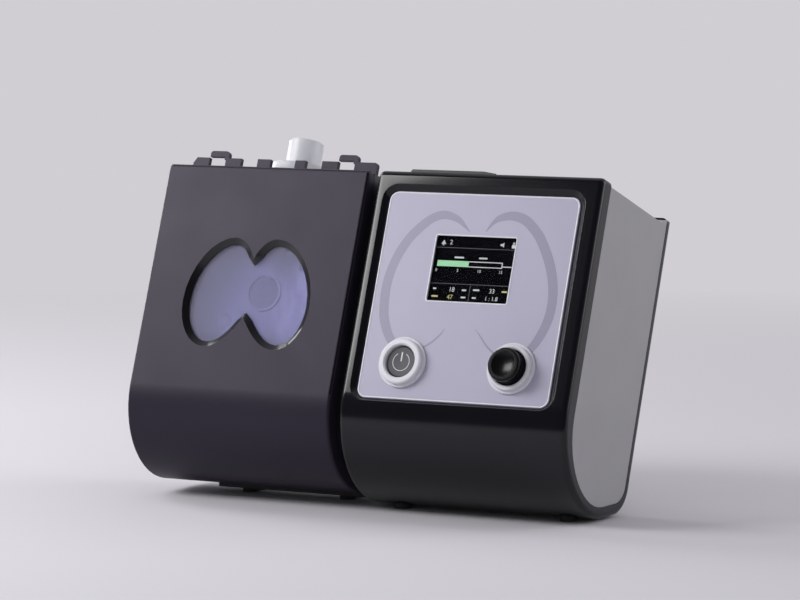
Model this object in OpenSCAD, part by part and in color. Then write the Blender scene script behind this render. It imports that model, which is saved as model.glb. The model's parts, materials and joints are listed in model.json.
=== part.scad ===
// Bilevel pap machine with a docked heated humidifier, on a common lean.
// Pieces are drawn in a leaning frame (x to the right, y back through the body, z up the front face,
// zero at the top front edge) and tilted into place at the end by lean_frame().

/* [Overall] */
// Width of the two units side by side
total_w = 300; // [290:1:320]
// How far both front faces lean back
lean = 20; // [15:0.5:24]
// Height of the top front edge above the floor
face_h = 203; // [198:0.5:215]
// Thickness from the humidifier's front face to the back
thickness = 97; // [94:0.5:104]
// Height of the shell above the floor, filled by the feet
foot_h = 1.5; // [1:0.1:4]

/* [Main unit] */
// Width of the main unit
main_w = 151; // [148:0.5:160]
// How far the main unit's front stands ahead of the humidifier's
main_ahead = 1.5; // [0.5:0.1:2.5]
// Radius of the roll under the front
belly_r = 54; // [50:0.5:58]
// Radius of the bottom rear edge
heel_r = 20; // [17:0.5:23]
// Depth of the black front band seen from the side
band_front = 9.3; // [8:0.1:12]
// Height of the black band along the bottom
band_base = 7; // [6:0.1:9]
// Thickness of the black back cover
band_back = 6.5; // [6:0.1:8]
// Wall of the black case
case_wall = 3; // [2.4:0.1:3.6]
// Rounding of the case's side edges
case_round = 3.5; // [2:0.1:3.8]
// Rounding of the case's top front edge
case_nose = 4; // [3.9:0.1:5]
// Wall of the grey housing
grey_wall = 2.6; // [2.2:0.1:3.2]
// How far the grey sides lie below the black band
grey_inset = 0.6; // [0.3:0.1:1]
// How far the grey top lies below the frame
grey_drop = 3; // [2:0.1:4]
// Width of the flare along the grey housing's rear edge
flare_w = 11; // [8:0.5:14]
// Height of the flare at that edge
flare_h = 3.5; // [2:0.1:4]

/* [Control panel] */
// Panel width
panel_w = 127.7; // [122:0.1:129]
// Panel height
panel_h = 128; // [124:0.5:131]
// Panel thickness
panel_t = 2.4; // [1.8:0.1:2.8]
// Corner radius of the panel
panel_r = 6; // [3:0.5:10]
// Space between the frame's top edge and the panel
panel_top = 12.5; // [11:0.5:16]
// Space between the frame's left edge and the panel
panel_left = 9.8; // [9:0.1:11]
// How far the panel lies below the frame's crest
panel_sink = 2.3; // [1.5:0.1:3]
// Visible screen width
screen_w = 53; // [48:0.5:58]
// Visible screen height
screen_h = 40; // [36:0.5:44]
// Distance from the panel's top edge to the screen
screen_top = 26.5; // [22:0.5:32]
// Distance of the power button and the knob from the middle of the panel
control_side = 36.2; // [33:0.1:38]
// Height of both above the panel's bottom edge
control_up = 22.6; // [20:0.1:28]

/* [Rings around the controls] */
// Radius of each ring's face
ring_r = 14; // [12:0.1:15]
// How far the rings stand out of the panel
ring_out = 4.8; // [3:0.1:6]

/* [Power button] */
// Radius of the button's cap
button_r = 9.6; // [7:0.1:10.5]
// Travel of the button
button_travel = 0.8; // [0.5:0.1:1]

/* [Knob] */
// Radius of the knob
knob_r = 10.8; // [9:0.1:11]
// How far the knob's face stands out of the panel
knob_out = 12; // [9:0.5:14]
// Depth of the dish in the knob's face
knob_dish = 1.6; // [0.8:0.1:2.2]
// How far its grip is drawn in between its flange and its cap
knob_waist = 1.2; // [0.6:0.1:2]
// Travel of the push function
knob_travel = 0.8; // [0.4:0.1:1]
// Radius of the encoder's shaft
shaft_r = 3; // [2.5:0.1:3.5]

/* [Release button] */
// Length of the raised pad
pad_l = 57; // [50:1:64]
// Distance from the frame's left edge to the pad
pad_left = 21; // [18:1:26]
// How far the pad stands above the frame
pad_up = 1.3; // [0.8:0.1:2]
// Travel of the pad
pad_travel = 2; // [1:0.1:2.5]

/* [Blower] */
// Outer radius of the volute
volute_r = 38; // [35:0.5:40]
// Depth of the volute along its axis
volute_d = 36; // [32:0.5:37]
// Radius of the impeller
impeller_r = 28; // [24:0.5:29]
// Number of impeller blades
blade_count = 11; // [7:1:15]
// Inner radius of the air duct
duct_r = 7.5; // [6.5:0.1:8]

/* [Humidifier] */
// Gap between the humidifier and the main unit
unit_gap = 7; // [6:0.1:9]
// Radius of the roll under the humidifier's cover
cover_belly_r = 48; // [45:0.5:50]
// Height of the cover's lowest line above the floor
cover_base = 7; // [6:0.5:9]
// Wall of the front cover
cover_wall = 3; // [2.6:0.1:3.4]
// Depth of the cover's side returns
cover_return = 11; // [9.5:0.1:11.2]
// Rounding of the cover's side edges
cover_round = 2; // [1:0.1:2.3]
// Rounding of the cover's top front edge
cover_nose = 2.4; // [2.4:0.1:3]
// Wall of the humidifier's housing
bay_wall = 2.5; // [2:0.1:2.7]

/* [Window] */
// Width of the two-lobed window
window_w = 89.4; // [80:0.5:96]
// Height of its lobes
window_h = 69; // [62:0.5:74]
// Distance from the cover's top edge to the lobes
window_top = 46; // [40:0.5:50]
// Width of the sloping edge around it
window_edge = 3.6; // [2.4:0.1:4.2]
// Depth of that slope
window_sink = 2.4; // [1.6:0.1:2.5]

/* [Rim] */
// Height of the rim's tabs above the cover's top edge
tab_h = 7.6; // [5:0.1:9]
// Width of the last tab, at the right end
tab_end_w = 15.9; // [12:0.1:18]
// Width of a tab
tab_w = 11.3; // [8:0.1:12]
// Thickness of the rim's front wall
rim_t = 2.8; // [2:0.1:3]
// Height of the hooks above the cover's top edge
hook_h = 12; // [11:0.1:14]
// Thickness of a hook's arm
hook_t = 3.8; // [2.5:0.1:4]

/* [Tank] */
// Space between the humidifier's sides and the tank
tank_side = 13; // [12.5:0.1:16]
// Depth of the tank
tank_d = 65; // [62:0.1:65.4]
// Height of the bay's floor above the table, in the middle of its depth
bay_lift = 41.6; // [40:0.1:46]
// Wall of the tank
tank_wall = 2.2; // [1.8:0.1:2.6]
// Height of the lid's skirt and top
lid_h = 20.6; // [19:0.1:21]
// Radius of the boss under the hose port
boss_r = 20; // [17:0.5:22]
// Outer radius of the hose port, 22 mm across
port_r = 11; // [10.5:0.1:11.5]
// Wall of the hose port
port_wall = 1.7; // [1.3:0.1:2.2]
// Height of the hose port above the cover's top edge
port_top = 27.5; // [24:0.5:34]
// Radius of the round disc moulded on the tank's front
disc_r = 11.8; // [9:0.1:14]
// Distance of that disc below the top of the tank's body
disc_down = 51.4; // [46:0.1:56]
// Distance of that disc to the right of the tank's middle
disc_side = 2.3; // [0:0.1:5]
// Radius of the heater plate
heater_r = 33; // [28:0.5:34]

/* [Hidden] */

$fn = 64;
eps = 0.01;
big = 400;
arc_step = 5;
seam = 0.15;
run = 0.05;
free = 0.3;
bearing_play = 0.05;

// x positions of the two units
main_x1 = total_w / 2;
main_x0 = main_x1 - main_w;
hum_x0 = -total_w / 2;
hum_x1 = main_x0 - unit_gap;
hum_mid = (hum_x0 + hum_x1) / 2;

// Front plane of the main unit, and planes measured back from it
main_front = -main_ahead;
panel_face = main_front + panel_sink;
panel_back = panel_face + panel_t;
bed_t = 2;
bed_back = panel_back + seam + bed_t;
board_gap = 6.8;
board_face = bed_back + board_gap;
pcb_t = 1.6;
back_inner = thickness - band_back;
back_rise = 2;
split_v = -160;

// Middle lines of the panel and its controls
panel_x0 = main_x0 + panel_left;
panel_mid = panel_x0 + panel_w / 2;
panel_v1 = -panel_top;
panel_v0 = panel_v1 - panel_h;
screen_side = 1;
screen_mid = panel_mid - screen_side;
screen_v1 = panel_v1 - screen_top;
screen_v0 = screen_v1 - screen_h;
control_v = panel_v0 + control_up;
button_x = panel_mid - control_side;
knob_x = panel_mid + control_side;
ring_flange = 1.5;
ring_flange_t = 1.6;
knob_cap_r = knob_r - 0.6;
knob_face_r = knob_cap_r - 1;
panel_rim_w = 0.6;
panel_rim_t = 0.2;

// Filter, its door and their well in the back cover
filter_s = 56;
filter_t = 5.6;
filter_room = 1.2;
well_t = 2;
well_wall = 2;
door_s = filter_s + 7;
door_t = 3.4;
door_room = 0.6;
door_face = thickness - 0.2;
well_floor = door_face - door_t - door_room - filter_room - filter_t - well_t;

// Main board, and the blower beside it
main_board_w0 = 26;
main_board_w1 = back_inner - 6.5;
main_board_v0 = -124;
main_board_v1 = -20;
board_inset = 12;
board_part_h = 12;
board_x = main_x1 - board_inset;
blower_gap = 4;
blower_x = board_x - board_part_h - blower_gap - volute_r;
blower_v = -112;
mount_post = 4.5;
mount_pad_t = 3.3;
blower_w1 = well_floor - mount_post - mount_pad_t - 0.2;
blower_w0 = blower_w1 - volute_d;
volute_wall = 3;
volute_split = (blower_w0 + blower_w1) / 2;
inlet_r = 14;
motor_r = 17;
motor_d = 18;
spindle_r = 1.5;
spindle_in = 6;
duct_wall = 1.8;
duct_x = blower_x - volute_r + duct_r + duct_wall + 3;
duct_w = volute_split;
outlet_l = 34;
outlet_start = 8;
outlet_v = blower_v + volute_r + outlet_l;
nozzle_v = -15;
mount_ring_r = 27;
mount_pad_r = 5;
door_axis_w = door_face - door_t / 2;
door_axis_v = blower_v + door_s / 2 - 1.2;
door_knuckle_r = 1.7;
door_pin_r = 1;
recess_s = door_s + 1.2;

// Humidifier planes
cover_end_y = 6;
bay_front_face = cover_return + free;
bay_w0 = bay_front_face + bay_wall + 0.1;
bay_w1 = thickness - bay_wall;
bay_top = -0.5;
bay_floor = at_height(bay_lift, (bay_w0 + bay_w1) / 2);
heater_room = 6;
tank_gap = 4;
tank_w0 = bay_w0 + tank_gap;
tank_w1 = tank_w0 + tank_d;
tank_x0 = hum_x0 + tank_side;
tank_x1 = hum_x1 - tank_side;
bay_x0 = tank_x0 - 2;
bay_x1 = tank_x1 + 2;
tank_v1 = -24;
tank_v0 = bay_floor + heater_room;
tank_corner = 8;
lid_v0 = tank_v1 + 0.4;
lid_v1 = lid_v0 + lid_h;
lid_top_t = 2.4;
base_low = 2.5;
base_x0 = hum_x0 + 31;
base_x1 = hum_x1 - 2;
hinge_w = tank_w1 + 5.5;
hinge_v = lid_v1 - 0.6;
hinge_knuckle_r = 3;
hinge_pin_r = 1.25;
hinge_side = (tank_x1 - tank_x0) / 2 - 17;
port_w = tank_w0 + 22.2;
port_bore = port_r - port_wall;
boss_top = 10;
collar_r = port_r + 1.6;
air_v = nozzle_v;
inlet_tube_r = duct_r + duct_wall + free + 1.3;
lid_inlet_r = duct_r - 0.8;
land_out = unit_gap - 0.9;
rim_w0 = cover_return + 0.1;
tab_first = hum_x0 + 10;
rim_x1 = hum_x1 - 1.6;
tab_pitch = (rim_x1 - tab_end_w - tab_first) / 5;
hook_l = 13.6;
hook_leg = 3.2;
heater_top = tank_v0 - free;
heater_t = 2.2;

// Height above the floor, in the leaning frame's own z, of a point at depth w
function at_height(h, w) = (h - face_h + w * sin(lean)) / cos(lean);
function world_y(w, v) = v * sin(lean) + w * cos(lean);

// Side outline: front nose, straight front, roll under the front, short flat, heel, straight back
function side_outline(front, back, top, back_top, base, r_front, r_heel, nose = 0) =
    let (cf = [front + r_front, at_height(base + r_front, front + r_front)],
         ch = [back - r_heel, at_height(base + r_heel, back - r_heel)],
         down = 270 + lean)
    concat(
        nose > 0 ? [for (a = [90 : 22.5 : 180]) [front + nose + nose * cos(a), top - nose + nose * sin(a)]]
                 : [[front, top]],
        [for (a = [180 : arc_step : down]) cf + r_front * [cos(a), sin(a)]],
        [for (a = [down : arc_step : 360]) ch + r_heel * [cos(a), sin(a)]],
        [[back, back_top]]);

function main_outline(i) =
    side_outline(main_front + i, thickness - i, -i, back_rise - i, foot_h + i,
                 belly_r - i, heel_r - i, case_nose - i);
function main_window(i, top) =
    side_outline(band_front + i, back_inner - i, top, top, foot_h + band_base + i,
                 belly_r - band_front - 1.5 - i, heel_r - band_back - i);
function cover_outline(i) =
    side_outline(i, thickness + 20, -i, -i, cover_base + i, cover_belly_r - i, heel_r, cover_nose - i);
function bay_outline(i) =
    side_outline(bay_front_face + i, thickness - i, bay_top, bay_top,
                 cover_base + bay_front_face + i, cover_belly_r - bay_front_face - i, heel_r - i);
function low_outline(i) =
    side_outline(i, thickness - i, bay_top, bay_top, cover_base + i, belly_r - i, heel_r - i);
function base_outline() =
    side_outline(0, thickness, bay_top, bay_top, base_low, belly_r, heel_r);

belly_y0 = world_y(main_front + belly_r, at_height(foot_h + belly_r, main_front + belly_r)) - belly_r;
knob_y0 = world_y(panel_face - knob_out, control_v - knob_face_r);
main_y0 = min(belly_y0, knob_y0);
main_y1 = world_y(thickness, back_rise);
y_shift = -(main_y0 + main_y1) / 2;

// Two-lobed window, a little right of the cover's middle: half of its outline as four curves,
// in shares of its width and height
window_side = 1.3;
window_mid = hum_mid + window_side;
lobe = [[[0, 0.186], [0.067, 0.086], [0.179, 0], [0.336, 0]],
        [[0.336, 0], [0.671, 0], [1, 0.286], [1, 0.586]],
        [[1, 0.586], [1, 0.814], [0.805, 1], [0.548, 1]],
        [[0.548, 1], [0.291, 1], [0.112, 0.829], [0, 0.721]]];
lobe_steps = 8;
function bezier(p, t) =
    pow(1 - t, 3) * p[0] + 3 * t * pow(1 - t, 2) * p[1] + 3 * t * t * (1 - t) * p[2] + pow(t, 3) * p[3];
function lobe_points() =
    [for (s = [0 : 3]) for (k = [0 : lobe_steps - 1]) bezier(lobe[s], k / lobe_steps)];
function window_points() =
    let (half = concat(lobe_points(), [lobe[3][3]]), n = len(half))
    concat([for (p = half) [window_mid + p[0] * window_w / 2, -window_top - p[1] * window_h]],
           [for (k = [n - 2 : -1 : 1]) [window_mid - half[k][0] * window_w / 2,
               -window_top - half[k][1] * window_h]]);

// Moves each point of a clockwise outline inward along the mean normal of its two edges
function inset_points(p, d) =
    let (n = len(p))
    [for (k = [0 : n - 1])
        let (a = p[(k + n - 1) % n], c = p[(k + 1) % n], t = (c - a) / norm(c - a))
        p[k] + d * [t[1], -t[0]]];

module lean_frame() {
    translate([0, y_shift, face_h])
    rotate([-lean, 0, 0])
    children();
}

// Extrudes a side outline from x0 to x1
module along_x(x0, x1) {
    translate([x0, 0, 0])
    rotate([90, 0, 90])
    linear_extrude(x1 - x0)
    children();
}

// Extrudes a face outline from depth w0 back to w1
module through(w0, w1) {
    translate([0, w1, 0])
    rotate([90, 0, 0])
    linear_extrude(w1 - w0)
    children();
}

// Extrudes a plan outline (x, depth) from v0 up to v1
module upward(v0, v1) {
    translate([0, 0, v0])
    linear_extrude(v1 - v0)
    children();
}

module block(x0, x1, w0, w1, v0, v1) {
    translate([x0, w0, v0])
    cube([x1 - x0, w1 - w0, v1 - v0]);
}

module rod_w(x, v, w0, w1, r, fn = 64) {
    translate([x, w1, v])
    rotate([90, 0, 0])
    cylinder(h = w1 - w0, r = r, $fn = fn);
}

module rod_x(w, v, x0, x1, r, fn = 64) {
    translate([x0, w, v])
    rotate([0, 90, 0])
    cylinder(h = x1 - x0, r = r, $fn = fn);
}

module rod_v(x, w, v0, v1, r, fn = 64) {
    translate([x, w, v0])
    cylinder(h = v1 - v0, r = r, $fn = fn);
}

// Rectangle with rounded corners, from low corner to high corner
module rounded_rect(x0, x1, y0, y1, r) {
    corners = [[x1 - r, y1 - r, 0], [x0 + r, y1 - r, 90], [x0 + r, y0 + r, 180], [x1 - r, y0 + r, 270]];
    polygon([for (c = corners)
             for (a = [0 : 15 : 90]) [c[0] + r * cos(c[2] + a), c[1] + r * sin(c[2] + a)]]);
}

// Body of constant side outline whose side edges are rounded by r; shape(i) is the outline set in by i
module rounded_body(x0, x1, r, shape) {
    turns = [0 : 18 : 90];
    rings = concat([for (a = turns) [x0 + r * (1 - cos(a)), r * (1 - sin(a))]],
                   [for (a = turns) [x1 - r * (1 - cos(90 - a)), r * (1 - sin(90 - a))]]);
    loft_x([for (ring = rings) [for (p = shape(ring[1])) [ring[0], p[0], p[1]]]]);
}

// Closed skin over a row of rings that all have the same number of points
module loft_x(rings) {
    m = len(rings);
    n = len(rings[0]);
    polyhedron(
        points = [for (ring = rings) each ring],
        faces = concat(
            [[for (k = [0 : n - 1]) k]],
            [[for (k = [n - 1 : -1 : 0]) (m - 1) * n + k]],
            [for (j = [0 : m - 2]) for (k = [0 : n - 1])
                let (a = j * n + k, b = j * n + (k + 1) % n)
                each [[a, a + n, b], [b, a + n, b + n]]]));
}

// Half space below a height above the floor, or ahead of a world y, as side outlines
module below(h) {
    polygon([[-big, at_height(h, -big)], [big, at_height(h, big)], [big, -3 * big], [-big, -3 * big]]);
}

module between_y(y0, y1) {
    polygon([for (p = [[y0, -big], [y1, -big], [y1, big], [y0, big]])
             [p[0] * cos(lean) - p[1] * sin(lean), p[0] * sin(lean) + p[1] * cos(lean)]]);
}

// Main unit

module front_case() {
    open_r = 11;
    color([0.12, 0.11, 0.14])
    lean_frame()
    difference() {
        union() {
            difference() {
                rounded_body(main_x0, main_x1, case_round, function (i) main_outline(i));
                along_x(main_x0 - 1, main_x1 + 1)
                polygon(main_window(0, 20));
                block(main_x0 - 1, main_x1 + 1, 30, big, split_v, 20);
                along_x(main_x0 + case_wall, main_x1 - case_wall)
                polygon(main_outline(case_wall));
            }
            block(main_x0 + case_wall - eps, main_x1 - case_wall + eps, main_front + case_wall - eps,
                  bed_back, panel_v0 - 6, -case_wall + eps);
            board_posts(bed_back - eps, board_face - seam);
            pad_shelf();
        }
        panel_bevel();
        through(panel_face - eps, panel_back + seam)
        rounded_rect(panel_x0 - seam, panel_x0 + panel_w + seam, panel_v0 - seam, panel_v1 + seam, panel_r);
        through(0, bed_back + 1)
        rounded_rect(screen_mid - screen_w / 2 - 3,
            screen_mid + screen_w / 2 + 3, screen_v0 - 4, screen_v1 + 3.5, 2);
        for (x = [button_x, knob_x])
        rod_w(x, control_v, 0, bed_back + 1, open_r);
        pad_slot();
    }
}

// Sloping edge from the frame's crest down to the panel
module panel_bevel() {
    slope = 4;
    lip = 0.05;
    hull() {
        through(main_front - 1, main_front)
        rounded_rect(panel_x0 - slope, panel_x0 + panel_w + slope, panel_v0 - slope / 2, panel_v1 + slope,
                     panel_r + slope);
        through(panel_face - lip, panel_face)
        rounded_rect(panel_x0 - seam, panel_x0 + panel_w + seam, panel_v0 - seam, panel_v1 + seam, panel_r);
    }
}

post_spots = [[panel_x0 + 12, panel_v1 - 16], [panel_x0 + panel_w - 12, panel_v1 - 16],
              [panel_x0 + 12, panel_v0 + 44], [panel_x0 + panel_w - 12, panel_v0 + 44]];
post_r = 3;
module board_posts(w0, w1) {
    for (p = post_spots)
    rod_w(p[0], p[1], w0, w1, post_r, 32);
}

pad_x0 = main_x0 + pad_left;
pad_w0 = 0.8;
pad_w1 = band_front - 1.6;
pad_slope = 8;
pad_depth = 8;
spring_l = 6;
spring_x = pad_x0 + pad_l / 2;
pad_flange = 2;
latch_v = -pad_depth + 1.9;
latch_w = 21;
latch_l = 5;
module pad_slot() {
    block(pad_x0 - free, pad_x0 + pad_l + free, pad_w0 - free, pad_w1 + free, -case_wall - 1, 1);
    block(pad_x0 - pad_flange - free, pad_x0 + pad_l + pad_flange + free, pad_w0 - free, bed_back + free,
          -case_wall - 2 * pad_travel - free, -case_wall);
}

// Shelf behind the frame that carries the release spring
module pad_shelf() {
    shelf_v = -pad_depth - spring_l - seam;
    block(spring_x - 6, spring_x + 6, bed_back - eps, band_front - 1, shelf_v - 2, shelf_v);
}

// Pad with a flange under the frame, a stem over the spring, and an arm back to the catch
module release_button() {
    flange_v0 = -case_wall - pad_travel;
    arm_x = main_x0 + grey_inset + grey_wall + 3;
    arm_w = 4;
    color([0.1, 0.1, 0.12])
    lean_frame() {
        through(pad_w0, pad_w1)
        polygon([[pad_x0, flange_v0], [pad_x0 + pad_l, flange_v0], [pad_x0 + pad_l, 0.2],
                 [pad_x0 + pad_l - pad_slope, pad_up], [pad_x0 + 1, pad_up], [pad_x0, pad_up - 1]]);
        block(pad_x0 - pad_flange, pad_x0 + pad_l + pad_flange, pad_w0, bed_back, flange_v0, -case_wall - seam);
        block(spring_x - 5, spring_x + 5, bed_back + free, pad_w1, -pad_depth, flange_v0 + eps);
        block(arm_x, spring_x, bed_back + free, pad_w1, -pad_depth, latch_v);
        block(arm_x, arm_x + arm_w, bed_back + free, latch_w + latch_l, -pad_depth, latch_v);
        block(main_x0 + grey_inset, arm_x + eps, latch_w, latch_w + latch_l, -pad_depth, latch_v);
    }
}

module release_spring() {
    color("silver")
    lean_frame()
    spring_tube_v(spring_x, (bed_back + free + pad_w1) / 2 + 0.2,
        -pad_depth - spring_l, -pad_depth - seam, 1, 0.5);
}

module spring_tube_v(x, w, v0, v1, r, wire) {
    difference() {
        rod_v(x, w, v0, v1, r, 24);
        rod_v(x, w, v0 - 1, v1 + 1, r - wire, 24);
    }
}

// Top line of the grey housing: level, then a hollow curve up to the rear edge
function grey_outline() =
    let (o = main_window(seam, -grey_drop), n = len(o),
        r = (flare_w * flare_w + flare_h * flare_h) / (2 * flare_h),
         end = asin(flare_w / r))
    concat([for (k = [0 : n - 2]) o[k]],
           [for (k = [6 : -1 : 0]) let (a = end * k / 6)
            [back_inner - seam - flare_w + r * sin(a), -grey_drop + r * (1 - cos(a))]]);

// Plan of the grey housing, whose sides flare out the same way
function grey_plan() =
    let (w1 = back_inner - seam,
         side = [for (k = [0 : 5]) let (t = k / 5) [grey_inset - (grey_inset - 0.1) * t * t,
             w1 - flare_w * (1 - t)]])
    concat([[main_x0 + grey_inset, -big]], [for (p = side) [main_x0 + p[0], p[1]]],
           [for (k = [5 : -1 : 0]) [main_x1 - side[k][0], side[k][1]]], [[main_x1 - grey_inset, -big]]);

module mid_housing() {
    inner_x0 = main_x0 + grey_inset + grey_wall;
    inner_x1 = main_x1 - grey_inset - grey_wall;
    color([0.55, 0.54, 0.56])
    lean_frame()
    difference() {
        union() {
            difference() {
                intersection() {
                    along_x(main_x0, main_x1)
                    polygon(grey_outline());
                    upward(-face_h - thickness, thickness)
                    polygon(grey_plan());
                }
                block(inner_x0, inner_x1, -10, big, -big, -grey_drop - grey_wall);
            }
            for (p = screw_spots)
            rod_w(p[0], p[1], back_inner - 20, back_inner - seam, boss_screw_r, 32);
            for (w = [main_board_w0 + 8, main_board_w1 - 8], v = [main_board_v1 - 14, main_board_v0 + 18])
            rod_x(w, v, board_x + pcb_t + seam, inner_x1 + eps, 3, 32);
        }
        for (p = screw_spots)
        rod_w(p[0], p[1], back_inner - 16, back_inner + 1, screw_r + 0.1, 32);
        rod_x(duct_w, nozzle_v, main_x0 - 1, inner_x0 + 1, nozzle_r + free);
        block(main_x0 - 1, inner_x0 + 1, latch_w - free, latch_w + latch_l + free,
              -pad_depth - pad_travel - free, latch_v + 0.25);
        for (v = hook_spots)
        block(main_x0 - 1, inner_x0 + 1, hook_w0 - free, hook_w0 + hook_depth + free,
            v - hook_half - free, v + hook_half + free);
        block(main_x0 - 1, inner_x0 + 1, plug_w0 - seam, plug_w0 + plug_w + seam,
            plug_v - plug_h / 2 - seam, plug_v + plug_h / 2 + seam);
    }
}

screw_r = 1.5;
boss_screw_r = 4;
screw_in = 6.8;
screw_spots = [[main_x0 + screw_in, -14], [main_x1 - screw_in, -14],
               [main_x0 + screw_in, -150], [main_x1 - screw_in, -150]];

module case_screws() {
    head_r = 2.8;
    head_t = 2;
    color("silver")
    lean_frame()
    for (p = screw_spots)
    difference() {
        union() {
            rod_w(p[0], p[1], back_inner - 14, thickness - 3, screw_r, 32);
            rod_w(p[0], p[1], thickness - 3 - eps, thickness - 3 + head_t, head_r, 32);
        }
        for (turn = [0, 90])
        translate([p[0], thickness - 3 + head_t, p[1]])
        rotate([0, turn, 0])
        cube([3.2, 1.6, 0.8], center = true);
    }
}

module rear_cover() {
    rib = 1.8;
    socket_hole = [power_socket_w, power_socket_h];
    color([0.11, 0.1, 0.13])
    lean_frame()
    difference() {
        union() {
            intersection() {
                rounded_body(main_x0, main_x1, case_round, function (i) main_outline(i));
                block(main_x0 - 1, main_x1 + 1, back_inner, big, split_v + seam, 20);
            }
            // Locating rim inside the grey housing
            difference() {
                block(rim_in_x0, rim_in_x1, back_inner - 4, back_inner + eps,
                    split_v + 8, -grey_drop - grey_wall - free);
                block(rim_in_x0 + rib, rim_in_x1 - rib, back_inner - 5, back_inner + 1,
                    split_v + 8 + rib, -grey_drop - grey_wall - free - rib);
                for (p = screw_spots)
                rod_w(p[0], p[1], back_inner - 6, back_inner, boss_screw_r + free, 32);
            }
            // Well of the filter, with posts for the blower's rubber mounts
            block(blower_x - well_half, blower_x + well_half, well_floor,
                back_inner + eps, blower_v - well_half, blower_v + well_half);
            for (a = mount_angles)
            rod_w(blower_x + mount_ring_r * cos(a), blower_v + mount_ring_r * sin(a),
                well_floor - mount_post, well_floor + eps, 3.5, 32);
            // Sleeve of the power socket
            block(power_socket_x - power_socket_w / 2 - 1.6,
                  power_socket_x + power_socket_w / 2 + 1.6, back_inner - 8, back_inner + eps,
                  power_socket_v - power_socket_h / 2 - 1.6, power_socket_v + power_socket_h / 2 + 1.6);
        }
        block(blower_x - filter_s / 2 - 0.2, blower_x + filter_s / 2 + 0.2, well_floor + well_t, thickness + 1,
              blower_v - filter_s / 2 - 0.2, blower_v + filter_s / 2 + 0.2);
        block(blower_x - recess_s / 2, blower_x + recess_s / 2, door_face - door_t - door_room,
              thickness + 1, blower_v - recess_s / 2, blower_v + recess_s / 2);
        rod_x(door_axis_w, door_axis_v, blower_x - recess_s / 2 - 3,
            blower_x + recess_s / 2 + 3, door_pin_r + 0.02, 32);
        rod_w(blower_x, blower_v, well_floor - 1, well_floor + well_t + 1, inlet_r + 2);
        for (p = screw_spots) {
            rod_w(p[0], p[1], back_inner - 1, thickness + 1, screw_r + 0.2, 32);
            rod_w(p[0], p[1], thickness - 3, thickness + 1, 3.2, 32);
        }
        block(power_socket_x - socket_hole[0] / 2 - seam,
              power_socket_x + socket_hole[0] / 2 + seam, back_inner - 9, thickness + 1,
              power_socket_v - socket_hole[1] / 2 - seam, power_socket_v + socket_hole[1] / 2 + seam);
        block(card_x - card_w / 2 - seam, card_x + card_w / 2 + seam, back_inner - 1,
            thickness + 1, card_v - card_h / 2 - seam, card_v + card_h / 2 + seam);
        // Sound slots over the speaker, and air slots near the bottom
        for (k = [-2 : 2])
        through(back_inner - 1, thickness + 1)
        rounded_rect(speaker_x - 8 + abs(k), speaker_x + 8 - abs(k),
            speaker_v + 4 * k - 0.9, speaker_v + 4 * k + 0.9, 0.85);
        for (k = [0 : 4])
        through(back_inner - 1, thickness + 1)
        rounded_rect(main_x0 + 22, main_x0 + 40, -52 - 6 * k, -49.6 - 6 * k, 1.15);
    }
}

rim_in_x0 = main_x0 + grey_inset + grey_wall + free;
rim_in_x1 = main_x1 - grey_inset - grey_wall - free;
well_half = recess_s / 2 + well_wall;
mount_angles = [45 : 90 : 315];
speaker_x = main_x1 - 24;
speaker_v = -44;
speaker_r = 13;
power_socket_x = main_x1 - 24;
power_socket_v = -134;
power_socket_w = 15;
power_socket_h = 12;
card_x = main_x0 + 22;
card_v = -38;
card_w = 28;
card_h = 6;
card_l = 24;

module control_panel() {
    edge = 0.5;
    screen_half = screen_w / 2 + seam;
    color([0.67, 0.66, 0.74])
    lean_frame()
    difference() {
        union() {
            through(panel_face + edge, panel_back)
            rounded_rect(panel_x0, panel_x0 + panel_w, panel_v0, panel_v1, panel_r);
            hull() {
                through(panel_face, panel_face + 0.05)
                rounded_rect(panel_x0 + edge, panel_x0 + panel_w - edge,
                    panel_v0 + edge, panel_v1 - edge, panel_r - edge);
                through(panel_face + edge, panel_face + edge + 0.05)
                rounded_rect(panel_x0, panel_x0 + panel_w, panel_v0, panel_v1, panel_r);
            }
            panel_rim(panel_mid, panel_w / 2 - edge, (panel_v0 + panel_v1) / 2, panel_h / 2 - edge, panel_r - edge);
            panel_rim(screen_mid, screen_half + panel_rim_w, (screen_v0 + screen_v1) / 2,
                screen_h / 2 + seam + panel_rim_w, 1 + panel_rim_w);
        }
        through(panel_face - 1, panel_back + 1)
        rounded_rect(screen_mid - screen_half, screen_mid + screen_half,
            screen_v0 - seam, screen_v1 + seam, 1);
        for (x = [button_x, knob_x])
        rod_w(x, control_v, panel_face - 1, panel_back + 1, ring_r - 1 + seam);
    }
}

// Low rim just inside an outline on the panel
module panel_rim(mid_u, half_w, mid_v, half_h, r) {
    through(panel_face - panel_rim_t, panel_face + 0.2)
    difference() {
        rounded_rect(mid_u - half_w, mid_u + half_w, mid_v - half_h, mid_v + half_h, r);
        rounded_rect(mid_u - half_w + panel_rim_w, mid_u + half_w - panel_rim_w,
            mid_v - half_h + panel_rim_w, mid_v + half_h - panel_rim_w, r - panel_rim_w);
    }
}

module lcd_lens() {
    color([0.05, 0.05, 0.07])
    lean_frame()
    through(panel_face + 0.2, panel_back)
    rounded_rect(screen_mid - screen_w / 2, screen_mid + screen_w / 2, screen_v0, screen_v1, 0.9);
}

module lcd_module() {
    color([0.3, 0.32, 0.35])
    lean_frame() {
        block(screen_mid - screen_w / 2 - 2.4, screen_mid + screen_w / 2 + 2.4,
            panel_back + seam, panel_back + 4, screen_v0 - 3.4, screen_v1 + 3);
        block(screen_mid - 12, screen_mid + 12, panel_back + 4 - eps,
            board_face - seam, screen_v0 + 4, screen_v0 + 12);
    }
}

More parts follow.
